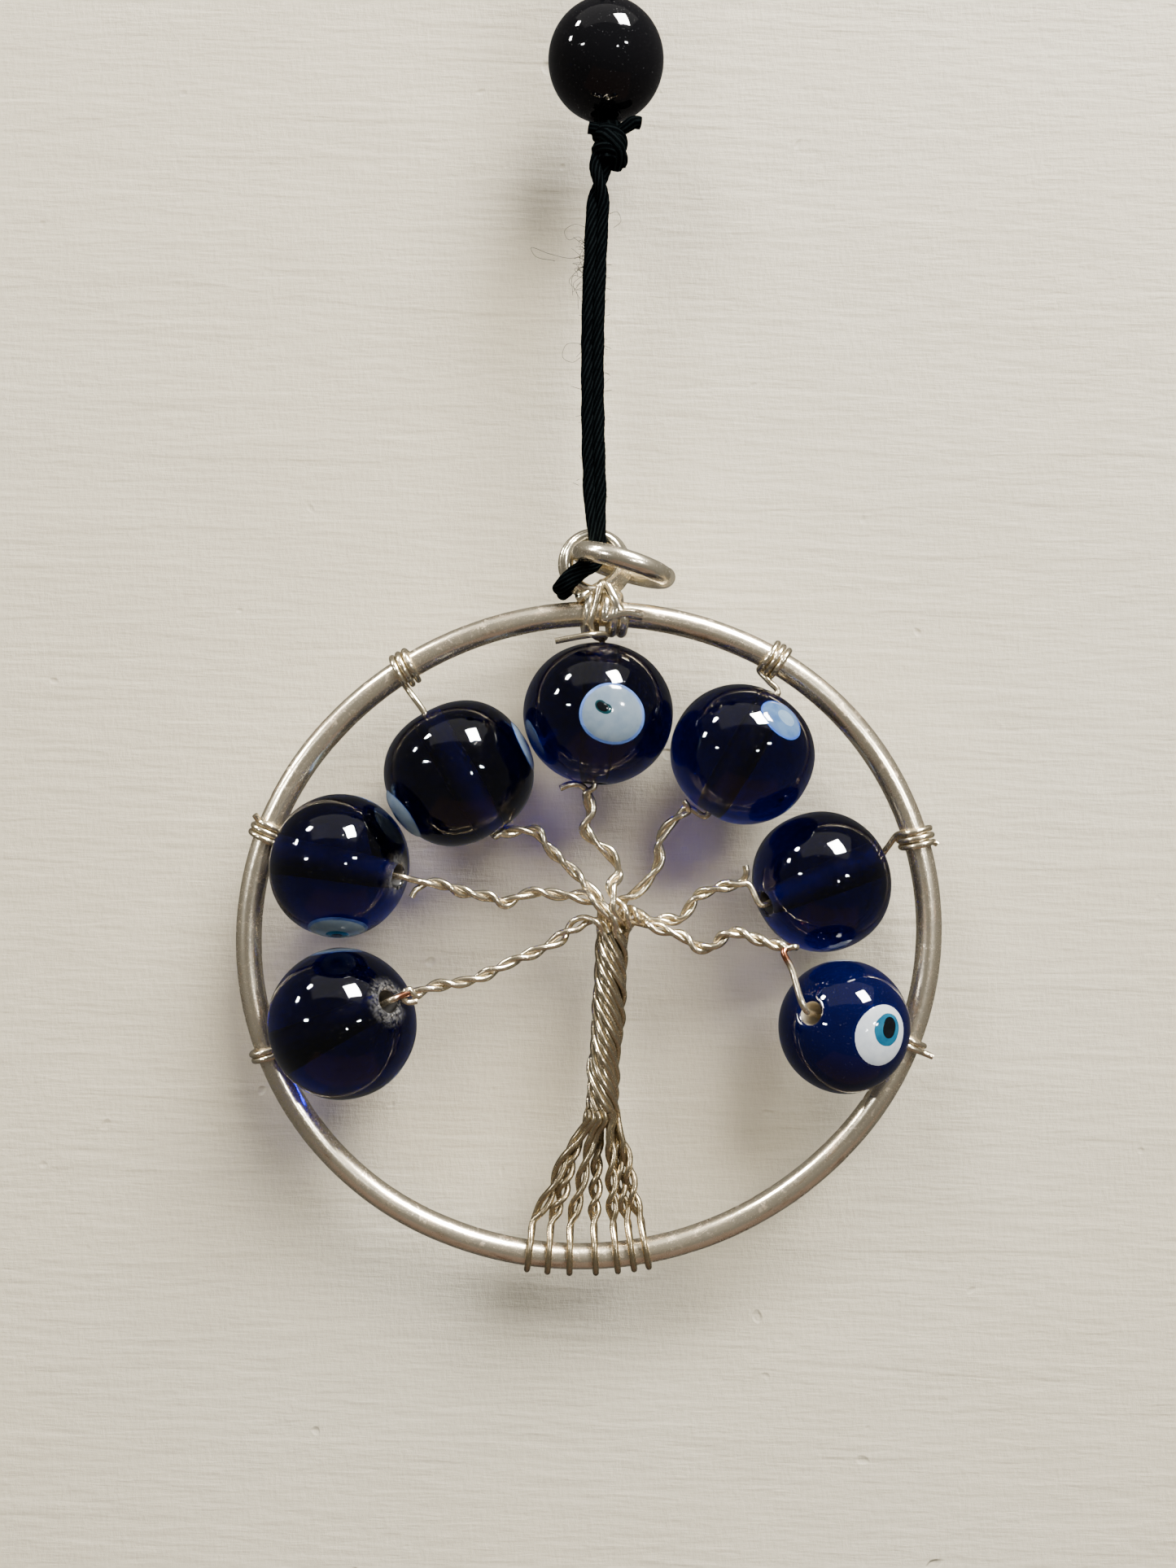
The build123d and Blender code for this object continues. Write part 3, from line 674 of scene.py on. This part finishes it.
def turned_body(width, height, power, hole, lip, lump, segments):
    """A rounded body round Z with a hole: its points, faces, each point's nearness to a mouth, and rows."""
    def reach(c, s):
        return ((abs(c) / width) ** power + (abs(s) / height) ** power) ** (-1 / power)

    last = 1.2
    for _ in range(30):
        last = atan2(reach(cos(last), sin(last)) * sin(last), hole + lip)
    profile, mouth = [], []
    for t in np.linspace(-last, last, 52):
        r = reach(cos(t), sin(t))
        profile.append((r * cos(t), r * sin(t), True))
        mouth.append(max(0.0, 1 - (r * cos(t) - hole) / 1.3) if abs(t) > 0.8 else 0.0)
    top = profile[-1][1]
    for a in np.linspace(0, pi / 2, 5)[1:]:
        profile.append((hole + lip - lip * sin(a), top - lip * (1 - cos(a)), False))
    for z in np.linspace(top - lip, lip - top, 10)[1:-1]:
        profile.append((hole, z, False))
    for a in np.linspace(pi / 2, 0, 5)[:-1]:
        profile.append((hole + lip - lip * sin(a), -top + lip * (1 - cos(a)), False))
    mouth += [1.0] * (len(profile) - len(mouth))
    points = []
    for rho, z, outside in profile:
        for j in range(segments):
            a = 2 * pi * j / segments
            p = np.array([rho * cos(a), rho * sin(a), z])
            if lump is not None and outside:
                p = p * lump(p)
            points.append(p)
    n = len(profile)
    faces = []
    for k in range(n):
        for j in range(segments):
            a, b = k * segments + j, k * segments + (j + 1) % segments
            c, d = (k + 1) % n * segments + (j + 1) % segments, (k + 1) % n * segments + j
            faces.append((a, b, c, d))
    return np.array(points), faces, np.repeat(mouth, segments), n


# width, fullness of the shoulders, lumpiness, chalk left round the hole, glass, and the eyes:
# degrees round the hole and towards its outer end, size, how proud, iris size, iris shift, pupil size
plain_eye = (4.2, 0.02, 2.1, (0, 0), 1.1)
beads = [
    (10.5, 2.0, 0.010, 1.0, "clear", [
        (110, -11, *plain_eye),
        (-107, -4, 4.0, 0.02, 2.0, (0, 0), 1.1),
        (175, 10, *plain_eye),
    ]),
    (10.0, 2.05, 0.008, 0.8, "clear", [
        (-73, -16, 4.4, 0.04, 2.3, (0, 0), 1.2),
        (165, 5, *plain_eye),
        (110, -5, 3.8, 0.02, 2.0, (0, 0), 1.1),
    ]),
    (10.4, 2.25, 0.010, 0.3, "clear", [
        (-80, -6, 4.4, 0.22, 2.1, (0, 0), 1.1),
        (90, -6, 4.2, 0.08, 2.1, (0, 0), 1.1),
        (180, 0, *plain_eye),
    ]),
    (10.6, 2.05, 0.008, 0.3, "clear", [
        (10, -6, 4.5, 0.05, 1.4, (-0.62, 0.30), 1.02),
        (131, 5, *plain_eye),
        (-112, -4, *plain_eye),
    ]),
    (10.2, 2.1, 0.010, 0.3, "clear", [
        (12, 42, 3.2, 0.06, 1.9, (0.25, 0.1), 0.0),
        (140, -10, *plain_eye),
        (-125, -20, *plain_eye),
    ]),
    (9.9, 2.15, 0.008, 0.5, "clear", [
        (120, 0, *plain_eye),
        (-120, 5, *plain_eye),
        (180, -8, *plain_eye),
    ]),
    (9.2, 2.0, 0.006, 0.0, "full", [
        (-13.8, -19.5, 4.5, 0.05, 2.95, (-0.39, 0.15), 1.8),
        (118, 4, *plain_eye),
        (-124, -2, *plain_eye),
    ]),
]
hole_radius = 0.8
segments = 96  # round a bead


def bead_place(i):
    """Centre, and the directions to the front, across, and along the hole outwards."""
    joint = next(j for j in frame["record"]["behaviour"]["joints"] if j["name"] == f"bead_{i + 1}_spin")
    centre, axis = np.array(joint["pos_m"]) / MM, unit(np.array(joint["axis"]))
    front = unit(FRONT - axis * FRONT.dot(axis))
    return centre, np.array([front, np.cross(axis, front), axis])


def bead_surface(i):
    """The bead's shape: distance from its centre in a direction of its own."""
    width, power, rough = beads[i][:3]
    a, b = width / 2, width * 0.475

    def lump(p):
        u = Vector(p).normalized()
        return 1 + rough * noise.noise(u * 1.7 + Vector((7.3 * i, 1.1, 3.7)))

    def reach(u):
        r = ((hypot(u[0], u[1]) / a) ** power + (abs(u[2]) / b) ** power) ** (-1 / power)
        return r * lump(u)

    return reach, lump, a, b


def disc_in_surface(i, centre, size, proud, sink, shift=(0, 0), shape=None):
    """A flat drop of glass that follows the bead's surface, as points and faces."""
    reach = bead_surface(i)[0]
    r = reach(centre)
    east = unit(np.cross([0.0, 0.0, 1.0], centre))
    north = np.cross(centre, east)
    middle = unit(centre + (east * shift[0] + north * shift[1]) / r)
    rings, spokes = 9, 48
    points, faces = [], []
    for under in (False, True):
        for k in range(rings + 1):
            t = k / rings
            for j in range(spokes):
                a = 2 * pi * j / spokes
                wide = size / 2 / r * t * (shape(a) if shape else 1.0)
                way = unit(middle + np.tan(wide) * (np.cos(a) * east + np.sin(a) * north))
                rim = -0.03
                height = rim - sink * (1 - t * t) if under else rim + (proud - rim) * (1 - t**5)
                points.append(way * (reach(way) + height))
    ring = (rings + 1) * spokes
    for base in (0, ring):
        for k in range(rings):
            for j in range(spokes):
                a, b = base + k * spokes + j, base + k * spokes + (j + 1) % spokes
                faces.append((a, b, b + spokes, a + spokes))
    return np.array(points), faces


def glass_bead(i, glass, chalk, whites, irises, pupils):
    """One bead: the glass body with its rough hole, and the three eyes let into it."""
    centre, turn = bead_place(i)
    _, power, _, powder, _, eyes = beads[i]
    _, lump, a, b = bead_surface(i)
    points, faces, mouth, rows = turned_body(a, b, power, hole_radius, 0.22, lump, segments)
    inside = [1 if 54 <= n // segments <= rows - 4 else 0 for n in range(len(faces))]
    piece = solid(f"glass_bead_{i + 1}", centre + points @ turn, faces, [glass, chalk], inside)
    nearness = piece.data.attributes.new("mouth", "FLOAT", "POINT")
    nearness.data.foreach_set("value", (mouth * powder).astype(np.float32))
    finished(piece, f"bead_{i + 1}", "cobalt_glass", f"bead_{i + 1}")

    def egg(a):
        return 1 + 0.07 * sin(a + 2.3) + 0.05 * cos(2 * a + 0.4) + 0.02 * sin(3 * a + i)

    def almond(a):
        return 1 + 0.24 * cos(2 * a + 0.9) + 0.05 * cos(3 * a)

    def tall(a):
        return 1 + 0.16 * cos(2 * a)

    layers = {"whites": [], "irises": [], "pupils": []}
    for around, lift, size, proud, iris, shift, pupil in eyes:
        p, q = radians(around), radians(lift)
        way = np.array([cos(q) * cos(p), cos(q) * sin(p), sin(q)])
        outline = almond if i == 3 else egg
        pupil_outline = {3: almond, 6: tall}.get(i, egg)
        layers["whites"].append(disc_in_surface(i, way, size, proud, 0.75, shape=egg))
        layers["irises"].append(disc_in_surface(i, way, iris, proud + 0.014, 0.05, shift, outline))
        if pupil:
            further = 1.35 if i == 6 else 1.1
            place = (shift[0] * further, shift[1] * further)
            drop = disc_in_surface(i, way, pupil, proud + 0.028, 0.04, place, pupil_outline)
            layers["pupils"].append(drop)
    nodes = {"whites": "eye_whites", "irises": "irises", "pupils": "pupils"}
    slots = {"whites": "eye_white", "irises": "iris", "pupils": "pupil"}
    for (layer, parts), finish in zip(layers.items(), (whites, irises, pupils)):
        points = np.vstack([p for p, _ in parts])
        faces, base = [], 0
        for p, fs in parts:
            faces += [tuple(v + base for v in f) for f in fs]
            base += len(p)
        eye = solid(f"bead_{i + 1}_{layer}", centre + points @ turn, faces, [finish])
        finished(eye, f"bead_{i + 1}", slots[layer], f"{nodes[layer]}_{i + 1}")


# ------------------------------------------------------------------ the wire tree

crown = (1.78, 1.73)
trunk_heights = [-13.64, -12.19, -9.7, -5.93, -0.24, 1.73]
trunk_places = [1.16, 1.27, 1.30, 1.56, 1.68, 1.78]
trunk_reach = 0.90
trunk_twist = 38.0  # degrees a millimetre
trunk_top, trunk_foot = 0.2, -12.3
top_angles = [116, 65, 168, 13, 219, 270, 322]  # where each branch's pair lies at the trunk's top
root_of_pair = [6, 5, 4, 3, 2, 0, 1]
# Where each pair sweeps over the crown: right, up and forward of the hoop's centre
crown_sweeps = [
    [(0.75, 1.0, 0.95), (-0.3, 1.1, 0.7)],
    [(1.75, 1.1, 1.3), (0.9, 2.1, 1.3), (-0.3, 2.75, 1.0), (-1.5, 2.85, 0.8)],
    [(0.95, 1.3, 0.35), (0.7, 2.4, 0.45), (-0.2, 3.5, 0.5)],
    [(2.65, 0.8, 0.8), (2.2, 1.75, 1.4), (1.75, 2.7, 1.3), (1.5, 3.6, 1.0)],
    [(1.5, 1.2, -0.4), (2.3, 2.5, 0.0)],
    [(2.2, 1.1, -0.6), (3.1, 1.9, 0.0)],
    [(2.9, 0.9, -0.2), (3.7, 1.1, 0.2)],
]
root_places = [-3.7, -2.3, -0.8, 1.0, 2.5, 3.6, 4.6]

# Bends of each branch from the crown: share of the way to the tip, and offset to its left
branch_bends = [
    [(.21, -.1), (.29, .3), (.4, .5), (.53, .5), (.64, .6), (.71, .65), (.84, .3), (.91, 0)],
    [(.27, -.6), (.35, -.6), (.44, -.5), (.5, -.1), (.57, .5), (.65, .2), (.71, .2), (.8, .1), (.87, -.1),
     (.95, -.2)],
    [(.43, -.6), (.57, -.7), (.73, -1), (.82, -1.3), (.91, -.8)],
    [(.29, -.9), (.48, -.6), (.59, .2), (.72, .7), (.84, 0)],
    [(.22, -.5), (.4, -.7), (.55, -.5), (.65, .2), (.79, .4), (.91, .2)],
    [(.22, -1.2), (.35, -1.3), (.46, -1.6), (.56, -.9), (.62, -.3), (.73, -.1), (.83, 0), (.93, -.1)],
    [(.21, -.4), (.32, -.6), (.4, -.7), (.53, -1.3), (.6, -.9), (.65, 0), (.72, .3), (.81, .1), (.9, 0)],
]
branch_tips = [(1.5, .3), (1.2, -.5), (.8, .3), (-.5, -.4), (-1.4, .4), (-1.2, 1.6), (-1.2, 4.2)]
branch_turns = [4.0, 4.25, 2.75, 2.5, 2.25, 3.25, 4.25]
stub_ends = [
    [(-0.55, 0.5, 0.2), (-0.95, 0.1, 0.3), (-0.7, -0.35, 0.2), (0.0, -0.3, 0.0)],
    [(-0.35, -0.25, 0.2), (-0.62, -0.75, 0.3)],
    [(-0.5, 0.1, 0.3), (-0.9, -0.2, 0.4)],
    [(-0.5, 0.5, 0.2), (-1.2, 0.55, 0.4), (-1.95, 0.25, 0.5)],
    [(-0.1, 0.45, 0.3), (-0.35, 0.75, 0.35)],
    [(0.15, 0.45, 0.2), (0.05, 0.95, 0.2)],
    [(0.35, 0.1, 0.2), (0.6, 0.05, 0.1)],
]
wrap_places = [201.4, 163.5, 125.8, 90.7, 57.2, 18.0, -17.1]


def trunk_point(angle, height, reach):
    x = np.interp(height, trunk_heights, trunk_places)
    a = radians(angle)
    return spot(x + reach * cos(a), height, reach * sin(a))


def pair_on_trunk(p):
    """The two wires of a pair side by side in the trunk's outer layer, from foot to top."""
    heights = np.linspace(trunk_foot, trunk_top, 110)
    wires_up = []
    for half in (-360 / 28, 360 / 28):
        angles = top_angles[p] - trunk_twist * (trunk_top - heights) + half
        proud = 0.09 if half > 0 else -0.05
        waver = proud + 0.07 * np.sin(heights * 0.9 + 2.1 * p) + 0.04 * np.sin(heights * 2.3 + 2 * p + half)
        places = zip(angles, heights, trunk_reach + waver)
        wires_up.append(np.array([trunk_point(*place) for place in places]))
    return wires_up


def mouth_of(i, outer):
    centre, turn = bead_place(i)
    reach = beads[i][0] * 0.475 + 0.2
    return centre + turn[2] * (reach if outer else -reach)


def branch_wires(i, trunk_pair):
    """The pair from the trunk's top to its tip, as two wires that start at the trunk's own."""
    mouth = mouth_of(i, False)
    dx, dz = branch_tips[i]
    tip = np.array([mouth[0] + dx, hoop_centre[1] + 0.8 * (mouth[1] - hoop_centre[1]), mouth[2] + dz])
    top = spot(*crown)
    left = unit(np.array([-(tip - top)[2], 0.0, (tip - top)[0]]))
    ends = [wire[-1] for wire in trunk_pair]
    start = (ends[0] + ends[1]) / 2
    rise = unit(sum(wire[-1] - wire[-4] for wire in trunk_pair))
    points = [start, start + rise * 0.4, *(spot(*p) for p in crown_sweeps[i])]
    points += [top + (tip - top) * share + left * offset for share, offset in branch_bends[i]]
    points.append(tip)
    line = smooth(points, 0.1)
    share = share_along(line)
    open_lobe = {0: 0.2, 3: 0.24, 4: 0.2, 1: 0.12, 2: 0.08}.get(i, 0.05)
    reach = 0.215 + open_lobe * np.exp(-((share - 0.22) / 0.08) ** 2) + 0.03 * np.sin(share * 31 + i)
    side = unit(ends[0] - ends[1])
    turns = branch_turns[i] * share**1.15
    return laid(line, 2, reach, turns, first=side)


def stub(i, strand):
    """The cut wire bends away from the branch's tip."""
    back, end = strand[-6], strand[-1]
    bends = [end + np.array([x, -forward, z]) for x, z, forward in stub_ends[i]]
    return np.vstack([strand[:-6], smooth([back, end, *bends], 0.08)])


def round_wire(place, out, reach, angle):
    """Points round the hoop's wire at angles from its inner side."""
    return place - out * (reach * np.cos(angle))[:, None] + FRONT * (reach * np.sin(angle))[:, None]


def wrap_line(bearing, turns, pitch, entry, tail):
    """Wire round the hoop: it comes in at an angle, goes round, and ends in a short tail."""
    place, out = hoop_at(bearing)
    ahead = np.cross(out, FRONT)
    angle = np.linspace(entry, entry + 2 * pi * turns, int(turns * 34))
    slide = np.linspace(-turns / 2, turns / 2, len(angle)) * pitch
    reach = wrap_radius + 0.02 * np.sin(angle * 2.3)
    ring = round_wire(place, out, reach, angle) + ahead * slide[:, None]
    end = ring[-1]
    go = unit(ring[-1] - ring[-3])
    tail = np.array(tail)
    last = end + go * 0.25 + (out * tail[0] + FRONT * tail[1] + ahead * tail[2])
    return ring, last


# turns, pitch, angle at which the wire reaches the hoop, and the tail: outwards, forwards, along
wraps = [
    (1.6, 0.46, 0.6, (0.35, 0.35, 0.1)),
    (2.3, 0.50, 0.4, (0.15, 0.40, 0.3)),
    (2.7, 0.50, 0.2, (-0.2, 0.35, -0.2)),
    None,
    (2.8, 0.48, 0.2, (0.4, 0.25, 0.2)),
    (2.4, 0.50, 0.2, (0.1, 0.30, 0.25)),
    (1.4, 0.46, 0.4, (0.75, 0.25, 0.0)),
]


def bead_wire(i, strand):
    """The long wire: from the branch's tip through the bead and round the hoop."""
    inner, outer = mouth_of(i, False), mouth_of(i, True)
    centre, turn = bead_place(i)
    begin = [strand[-5], strand[-1]]
    if i == 6:
        begin += [spot(13.25, -0.3, 4.75), spot(13.7, -1.3, 5.0)]
    through = [inner, inner + turn[2] * 1.0, centre, outer - turn[2] * 1.0, outer]
    if i == 3:
        knot_path = [spot(*p) for p in (
            (-0.15, 21.25, 1.2), (-0.38, 21.9, 1.55), (-0.1, 23.3, 1.75), (0.2, 24.7, 1.65), (0.3, 25.05, 0.0),
            (0.25, 24.6, -1.55), (0.0, 22.6, -1.5), (0.1, 21.35, -1.0), (0.6, 21.15, 0.2), (0.62, 21.3, 1.1),
            (-0.3, 21.2, 1.75), (-1.6, 20.95, 1.8), (-2.86, 20.68, 1.8))]
        return [smooth([*begin, *through, *knot_path], 0.1)]
    turns, pitch, entry, tail = wraps[i]
    ring, last = wrap_line(wrap_places[i], turns, pitch, entry, tail)
    line = smooth([*begin, *through], 0.1)
    pin = smooth([outer - turn[2] * 0.6, outer, (outer + ring[0]) / 2 + FRONT * 0.05, ring[0], ring[3]], 0.1)
    return [np.vstack([line, pin[8:], ring[4:], smooth([ring[-1], last], 0.1)[1:]])]


def root_wires(p, trunk_pair):
    """The pair below the trunk: a loose twist, then one wire down each side of the hoop."""
    place = root_places[root_of_pair[p]]
    bearing = 270.0
    for _ in range(8):
        bearing = 270.0 + degrees(pi / 2 - acos(place / np.linalg.norm(hoop_at(bearing)[0] - hoop_centre)))
    at, out = hoop_at(bearing)
    ends = [wire[0] for wire in trunk_pair]
    start = (ends[0] + ends[1]) / 2
    fall = unit(sum(wire[0] - wire[3] for wire in trunk_pair))
    fork = at - out * 2.4
    middle = trunk_point(0, trunk_foot, 0)
    points = [start, start + fall * 0.5]
    for share, height in ((0.14, -13.9), (0.42, -15.5), (0.58, -17.0), (0.74, -18.6)):
        deep = FRONT * FRONT.dot(start - middle) * (1 - share) * 0.8
        line_x = middle[0] + (start[0] - middle[0]) * (1 - share) + (fork[0] - middle[0]) * share
        points.append(np.array([line_x, hoop_centre[1], hoop_centre[2] + height]) + deep)
    line = smooth([*points, fork], 0.1)
    share = share_along(line)
    side = unit(ends[0] - ends[1])
    near, other = across(line, side)
    finish_angle = atan2(FRONT.dot(other[-1]), FRONT.dot(near[-1])) / (2 * pi)
    turns = finish_angle + 1.0 + (1 if finish_angle < 0 else 0)
    reach = 0.215 + 0.09 * np.exp(-((share - 0.75) / 0.2) ** 2)
    strands = laid(line, 2, reach, turns * np.clip((share - 0.3) / 0.7, 0, 1), first=side)
    w = wrap_radius
    paths = []
    for strand, face in zip(strands, (FRONT, -FRONT)):
        bends = [strand[-8], strand[-1], at - out * 1.0 + face * (w * 0.92), at + face * w]
        bends += [at + out * (w * 0.75) + face * (w * 0.75), at + out * w]
        paths.append(np.vstack([strand[:-8], smooth(bends, 0.1)]))
    return [np.vstack([paths[0], paths[1][::-1][1:]])]


def tree(finish, trunk_finish, dull, copper):
    """Seven doubled wires: roots on the hoop, twisted trunk, branches, and wires through the beads."""
    strands = []
    sizes = {"Sides": 12, "Unevenness": 0.035, "Lump size": 0.0005}
    for i in range(7):
        trunk_pair = pair_on_trunk(i)
        strands += trunk_pair
        root = wires(f"root_wires_{root_of_pair[i] + 1}", root_wires(i, trunk_pair), thin_wire, dull, **sizes)
        finished(root, "pendant", "thin_wire", f"root_{root_of_pair[i] + 1}")
        pair = branch_wires(i, trunk_pair)
        long, short = (pair[0], pair[1]) if i in (0, 3, 5) else (pair[1], pair[0])
        branch = wires(f"branch_wires_{i + 1}", [long, stub(i, short)], thin_wire, finish, **sizes)
        finished(branch, "pendant", "thin_wire", f"branch_{i + 1}")
        plating = copper if i in (0, 6) else finish
        carrier = wires(f"bead_wire_and_wrap_{i + 1}", bead_wire(i, long), thin_wire, plating, **sizes)
        finished(carrier, "pendant", "thin_wire", f"bead_wire_{i + 1}")
    core = []
    for k in range(4):
        heights = np.linspace(trunk_foot + 0.6, 1.3, 80)
        core.append(np.array([trunk_point(90 * k - trunk_twist * (trunk_top - z), z, 0.30) for z in heights]))
    trunk = wires("trunk_strands", strands + core, [0.41] * 14 + [0.6] * 4, trunk_finish, **sizes)
    finished(trunk, "pendant", "thin_wire", "trunk")


# ------------------------------------------------------------------ hoop, bail and jump ring

def hoop(finish):
    line = np.array([hoop_at(b)[0] for b in np.arange(0, 360, 0.8)])
    sizes = {"Sides": 40, "Unevenness": 0.012, "Lump size": 0.004}
    piece = wires("hoop_wire", [line], hoop_wire, finish, closed=True, **sizes)
    return finished(piece, "pendant", "hoop_plating", "hoop")


def round_hoop(x, turns, entry, pitch, wire):
    """Turns of the bail's wire round the top of the hoop."""
    bearing = 90 - degrees(x / half_short)
    place, out = hoop_at(bearing)
    ahead = np.cross(out, FRONT)
    angle = np.linspace(entry, entry + 2 * pi * turns, int(abs(turns) * 40))
    slide = np.linspace(-0.5, 0.5, len(angle)) * abs(turns) * pitch
    reach = hoop_wire / 2 + 0.02 + wire / 2
    return round_wire(place, out, reach, angle) + ahead * slide[:, None]


def bail(finish):
    """The bail: one wire bound round the hoop, coiled into an eye, and bound again with a cut end."""
    wire = 0.75
    right = round_hoop(1.25, 2.0, 1.2, 0.70, wire)
    left = round_hoop(-0.75, 1.1, 2.6, 0.70, wire)
    angle = np.linspace(radians(-62), radians(-62) + 2 * pi * 3.15, 210)
    depth = np.linspace(-0.78, 0.78, 210)
    nest = coil_reach - 0.26 + 0.26 * np.linspace(-1, 1, 210) + 0.03 * np.sin(angle * 1.7)
    eye = coil_centre + np.c_[nest * np.cos(angle), depth, nest * np.sin(angle)]
    tail = smooth([spot(3.25, 22.66, 1.32), spot(2.3, 22.80, 1.36), right[0]], 0.15)
    neck = smooth([right[-1], (right[-1] + eye[0]) / 2 + FRONT * 0.3, eye[0]], 0.15)
    rest = smooth([eye[-1], (eye[-1] + left[0]) / 2 - FRONT * 0.3, left[0]], 0.15)
    line = np.vstack([tail[:-1], right, neck[1:-1], eye, rest[1:-1], left])
    sizes = {"Sides": 20, "Unevenness": 0.03, "Lump size": 0.0012}
    piece = wires("bail_coil_wire", [line], wire, finish, **sizes)
    return finished(piece, "pendant", "bail_plating", "bail_coil")


def jump_ring(finish):
    """Loose ring, not quite closed at the right."""
    slope = radians(15.6)
    centre = np.array([2.082, 0.675, -76.467])
    wide = np.array([cos(slope), 0, -sin(slope)])
    angle = np.linspace(radians(-4), radians(333), 150)
    line = centre + 3.075 * (np.cos(angle)[:, None] * wide + np.sin(angle)[:, None] * FRONT * -1)
    line[:, 2] += np.linspace(0.06, -0.06, 150)
    sizes = {"Sides": 32, "Unevenness": 0.012, "Lump size": 0.002}
    piece = wires("jump_ring_wire", [line], 1.44, finish, **sizes)
    return finished(piece, "jump_ring", "bail_plating", "jump_ring")


# ------------------------------------------------------------------ backdrop

def backdrop(finish):
    """A pale wall just behind the ornament, which its polished pieces don't mirror."""
    back, side, low, high = 7.6, 900, -900, 700
    corners = [(-side, back, low), (side, back, low), (side, back, high), (-side, back, high)]
    wall = solid("wall", corners, [(0, 1, 2, 3)], [finish])
    wall.visible_glossy = False


# ------------------------------------------------------------------ the whole ornament

camera()
wire_group = wire_tree()

black_satin = satin_cord("black_satin_cord")
upper = knot("upper_knot_turns", "upper_knot", -37.2, -34.0, 0.0, 0.95, 2.65, black_satin)
lower = knot("lower_knot_turns", "lower_knot", -48.85, -45.35, 0.4, 1.12, 2.6, black_satin, tails=[
    [(0.6, -0.3, -46.6), (1.5, -0.5, -46.1), (2.1, -0.5, -45.75), (2.5, -0.4, -45.75)],
    [(0.2, -0.3, -46.6), (-0.6, -0.5, -46.3), (-1.1, -0.5, -46.2)],
])
hanging_loop(black_satin)
fibres = loose_fibres(black_satin)
doubled_cord(black_satin)
cord_in_bead(black_satin)
black_bead(polished_black("black_glass"))

cobalt = cobalt_glass("cobalt_glass", (0.01, 0.04, 0.75, 1), 1300.0, (0.35, 0.50, 1.0, 1))
full_cobalt = cobalt_glass("full_cobalt_glass", (0.02, 0.05, 0.71, 1), 900.0, (0.0006, 0.002, 0.045, 1), 0.3)
chalk = milk_glass("bead_release", (0.030, 0.027, 0.022, 1), (0.020, 0.018, 0.016, 1), 0.7)
fresh_chalk = milk_glass("beige_bead_release", (0.46, 0.41, 0.30, 1), (0.34, 0.30, 0.22, 1), 0.7)
white = milk_glass("milk_white", (0.64, 0.69, 0.73, 1), (0.52, 0.58, 0.65, 1))
pale = milk_glass("pale_blue_white", (0.23, 0.30, 0.37, 1), (0.18, 0.25, 0.33, 1))
mist_blue = milk_glass("mist_blue", (0.10, 0.19, 0.36, 1), (0.06, 0.13, 0.30, 1))
turquoise = milk_glass("turquoise", (0.010, 0.12, 0.21, 1), (0.007, 0.08, 0.16, 1))
dark_teal = milk_glass("dark_teal", (0.006, 0.05, 0.06, 1), (0.005, 0.03, 0.035, 1))
sky_blue = milk_glass("sky_blue", (0.22, 0.33, 0.47, 1), (0.16, 0.27, 0.42, 1))
pupil_black = milk_glass("pupil_black", (0.003, 0.004, 0.005, 1), (0.006, 0.008, 0.01, 1))
for i in range(7):
    glass = full_cobalt if beads[i][4] == "full" else cobalt
    iris = {3: dark_teal, 4: sky_blue}.get(i, turquoise)
    blank = {4: mist_blue, 6: white}.get(i, pale)
    glass_bead(i, glass, fresh_chalk if i == 6 else chalk, blank, iris, pupil_black)

silver = plated_wire("silver_plate", (0.90, 0.80, 0.60, 1), (0.30, 0.17, 0.09, 1), 0.70, 0.7, 0.15)
bail_silver = plated_wire("bail_silver_plate", (0.92, 0.84, 0.65, 1), (0.32, 0.20, 0.12, 1), 0.55, 0.7, 0.12)
thin_silver = plated_wire("thin_silver_wire", (0.70, 0.61, 0.43, 1), (0.30, 0.21, 0.12, 1), 0.50, 0.5, 0.13)
trunk_silver = plated_wire("trunk_silver_wire", (0.46, 0.39, 0.26, 1), (0.16, 0.11, 0.06, 1), 0.60, 0.4, 0.13)
root_silver = plated_wire("tarnished_silver_wire", (0.38, 0.31, 0.19, 1), (0.17, 0.12, 0.07, 1), 0.6, 0.6, 0.18)
copper = plated_wire("copper_showing", (0.74, 0.65, 0.47, 1), (0.26, 0.10, 0.05, 1), 0.35, 0.5, 0.14, bare=1.7)
hoop(silver)
bail(bail_silver)
jump_ring(bail_silver)
tree(thin_silver, trunk_silver, root_silver, copper)

backdrop(plaster("pale_plaster", (0.71, 0.645, 0.49, 1)))
lights()
